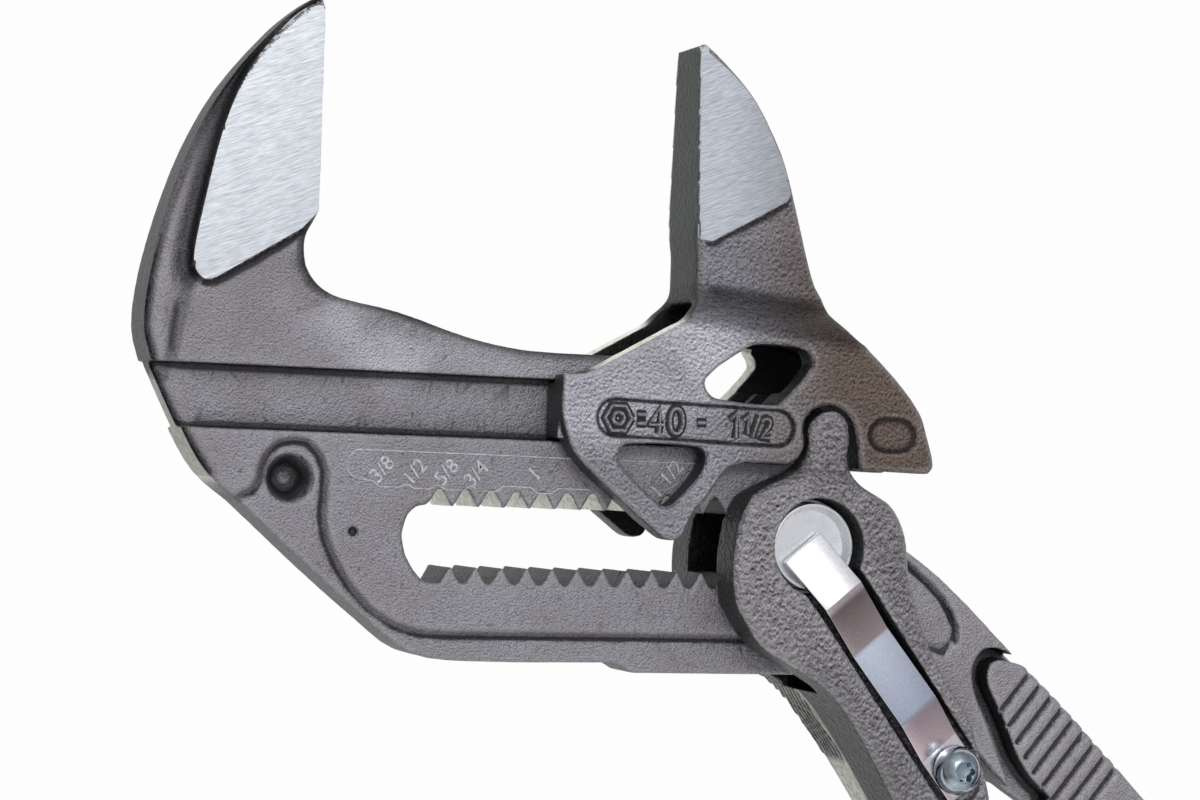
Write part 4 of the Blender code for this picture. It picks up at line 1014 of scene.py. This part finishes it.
# a dark strip under the figures: painted shade
addRaised("figureShadeStrip", {**marks["raised"], **marks["paintedShade"]}, figureShadeSteel)
addEtched("etchedFigures", marks["etched"], etchedSteel)
addEtchedOutline("etchedOutline", marks["outline"], etchedSteel)
print("figures and scale added")


# Camera: fitted to the photograph, which shows the tool from its front with the jaws upright
camera = {
    "focal": 84.0, "sensor": 36, "yaw": 0.367, "pitch": -0.027, "roll": -0.035,
    "shift": (-28.358, 28.377, -278.084),
}


def placeCamera(view):
    roll = Matrix.Rotation(view["roll"], 3, "Z")
    tilt = Matrix.Rotation(view["pitch"], 3, "X")
    ca, sa = math.cos(view["yaw"]), math.sin(view["yaw"])
    yaw = Matrix(((ca, 0, sa), (0, 1, 0), (-sa, 0, ca)))
    back = (roll @ tilt @ yaw).transposed()
    data = bpy.data.cameras.new("camera")
    data.lens = view["focal"]
    data.sensor_width = view["sensor"]
    data.sensor_fit = "HORIZONTAL"
    item = bpy.data.objects.new("camera", data)
    bpy.context.scene.collection.objects.link(item)
    place = -(back @ Vector(view["shift"])) * mm
    item.matrix_world = Matrix.Translation(place) @ back.to_4x4()
    bpy.context.scene.camera = item


placeCamera(camera)


# Floor and light: a table, one soft panel, and a sky that is bright in the softbox's direction.
# Matt white table top: nearly pure white to the camera and in the steel, and grey to other rays
lighting = {
    "floorDrop": 0.2, "floorSize": 3.0, "floor": "#8f8f8f", "floorGlow": 0.985, "floorGlint": 0.9,
    "key": {
        "place": (0.0, 0.36, 0.94), "target": (0.04, -0.03, 0), "size": (0.24, 0.16), "power": 1.2,
        "colour": "#ffffff",
    },
    "softbox": (0.0, 0.35, 0.94), "strength": 1.5,
    "sky": [
        (0.0, 0.04), (0.41, "#968f92"), (0.53, "#85807f"), (0.80, "#a0a4ad"), (0.90, "#b3b6bd"),
        (0.95, 0.66), (0.99, 1.0),
    ],
    "table": (0.0, -1.0, 0.1), "tableGlow": [(0.55, 0.0), (0.92, 0.5)],
}


def addPanel(name, panel):
    data = bpy.data.lights.new(name, "AREA")
    data.shape = "RECTANGLE"
    data.size, data.size_y = panel["size"]
    data.energy = panel["power"]
    data.color = linear(panel["colour"])[:3]
    item = bpy.data.objects.new(name, data)
    bpy.context.scene.collection.objects.link(item)
    item.location = panel["place"]
    way = Vector(panel["target"]) - Vector(panel["place"])
    item.rotation_euler = way.to_track_quat("-Z", "Y").to_euler()


def makeFloor(settings):
    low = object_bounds()[0][2] - settings["floorDrop"] * mm
    half = settings["floorSize"] / 2
    mesh = bpy.data.meshes.new("floor")
    corners = [(-half, -half, low), (half, -half, low), (half, half, low), (-half, half, low)]
    mesh.from_pydata(corners, [], [(0, 1, 2, 3)])
    floor = bpy.data.objects.new("floor", mesh)
    bpy.context.scene.collection.objects.link(floor)
    material, tree, shader = newMaterial("whiteTable")
    shader.inputs["Base Color"].default_value = linear(settings["floor"])
    shader.inputs["Roughness"].default_value = 0.9
    shader.inputs["Specular IOR Level"].default_value = 0.0
    rays = addNode(tree, "ShaderNodeLightPath").outputs
    glint = {0: rays["Is Glossy Ray"], 1: rays["Is Transmission Ray"]}
    glint = addNode(tree, "ShaderNodeMath", glint, operation="ADD").outputs[0]
    glint = addNode(tree, "ShaderNodeMath", {0: glint, 1: settings["floorGlint"]}, operation="MULTIPLY")
    seen = {0: rays["Is Camera Ray"], 1: settings["floorGlow"], 2: glint.outputs[0]}
    seen = addNode(tree, "ShaderNodeMath", seen, operation="MULTIPLY_ADD").outputs[0]
    glow = addNode(tree, "ShaderNodeEmission", {"Color": "#ffffff", "Strength": 1.0}).outputs[0]
    mixed = addNode(tree, "ShaderNodeMixShader", {0: seen, 1: shader.outputs[0], 2: glow})
    tree.links.new(mixed.outputs[0], tree.nodes["Material Output"].inputs["Surface"])
    mesh.materials.append(material)
    floor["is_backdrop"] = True


def makeWorld(settings):
    world = bpy.data.worlds.new("studio")
    bpy.context.scene.world = world
    world.use_nodes = True
    tree = world.node_tree
    way = addNode(tree, "ShaderNodeTexCoord").outputs["Generated"]
    glows = []
    for toward, stops in (("softbox", "sky"), ("table", "tableGlow")):
        facing = {0: way, 1: Vector(settings[toward]).normalized()}
        facing = addNode(tree, "ShaderNodeVectorMath", facing, operation="DOT_PRODUCT").outputs["Value"]
        ramp = addNode(tree, "ShaderNodeValToRGB", {"Fac": facing}, settings[stops])
        glows.append(ramp.outputs["Color"])
    sky = {0: 1.0, 6: glows[0], 7: glows[1]}
    sky = addNode(tree, "ShaderNodeMix", sky, data_type="RGBA", blend_type="ADD").outputs[2]
    soft = tree.nodes["Background"]
    tree.links.new(sky, soft.inputs["Color"])
    soft.inputs["Strength"].default_value = settings["strength"]
    white = addNode(tree, "ShaderNodeBackground", {"Color": "#ffffff", "Strength": 1.0}).outputs[0]
    rays = addNode(tree, "ShaderNodeLightPath").outputs
    mixed = addNode(tree, "ShaderNodeMixShader", {0: rays["Is Camera Ray"], 1: soft.outputs[0], 2: white})
    tree.links.new(mixed.outputs[0], tree.nodes["World Output"].inputs["Surface"])


makeFloor(lighting)
makeWorld(lighting)
addPanel("keyPanel", lighting["key"])
bpy.context.scene.view_settings.view_transform = "Standard"
print("camera, floor and light set")

bpy.context.view_layer.update()
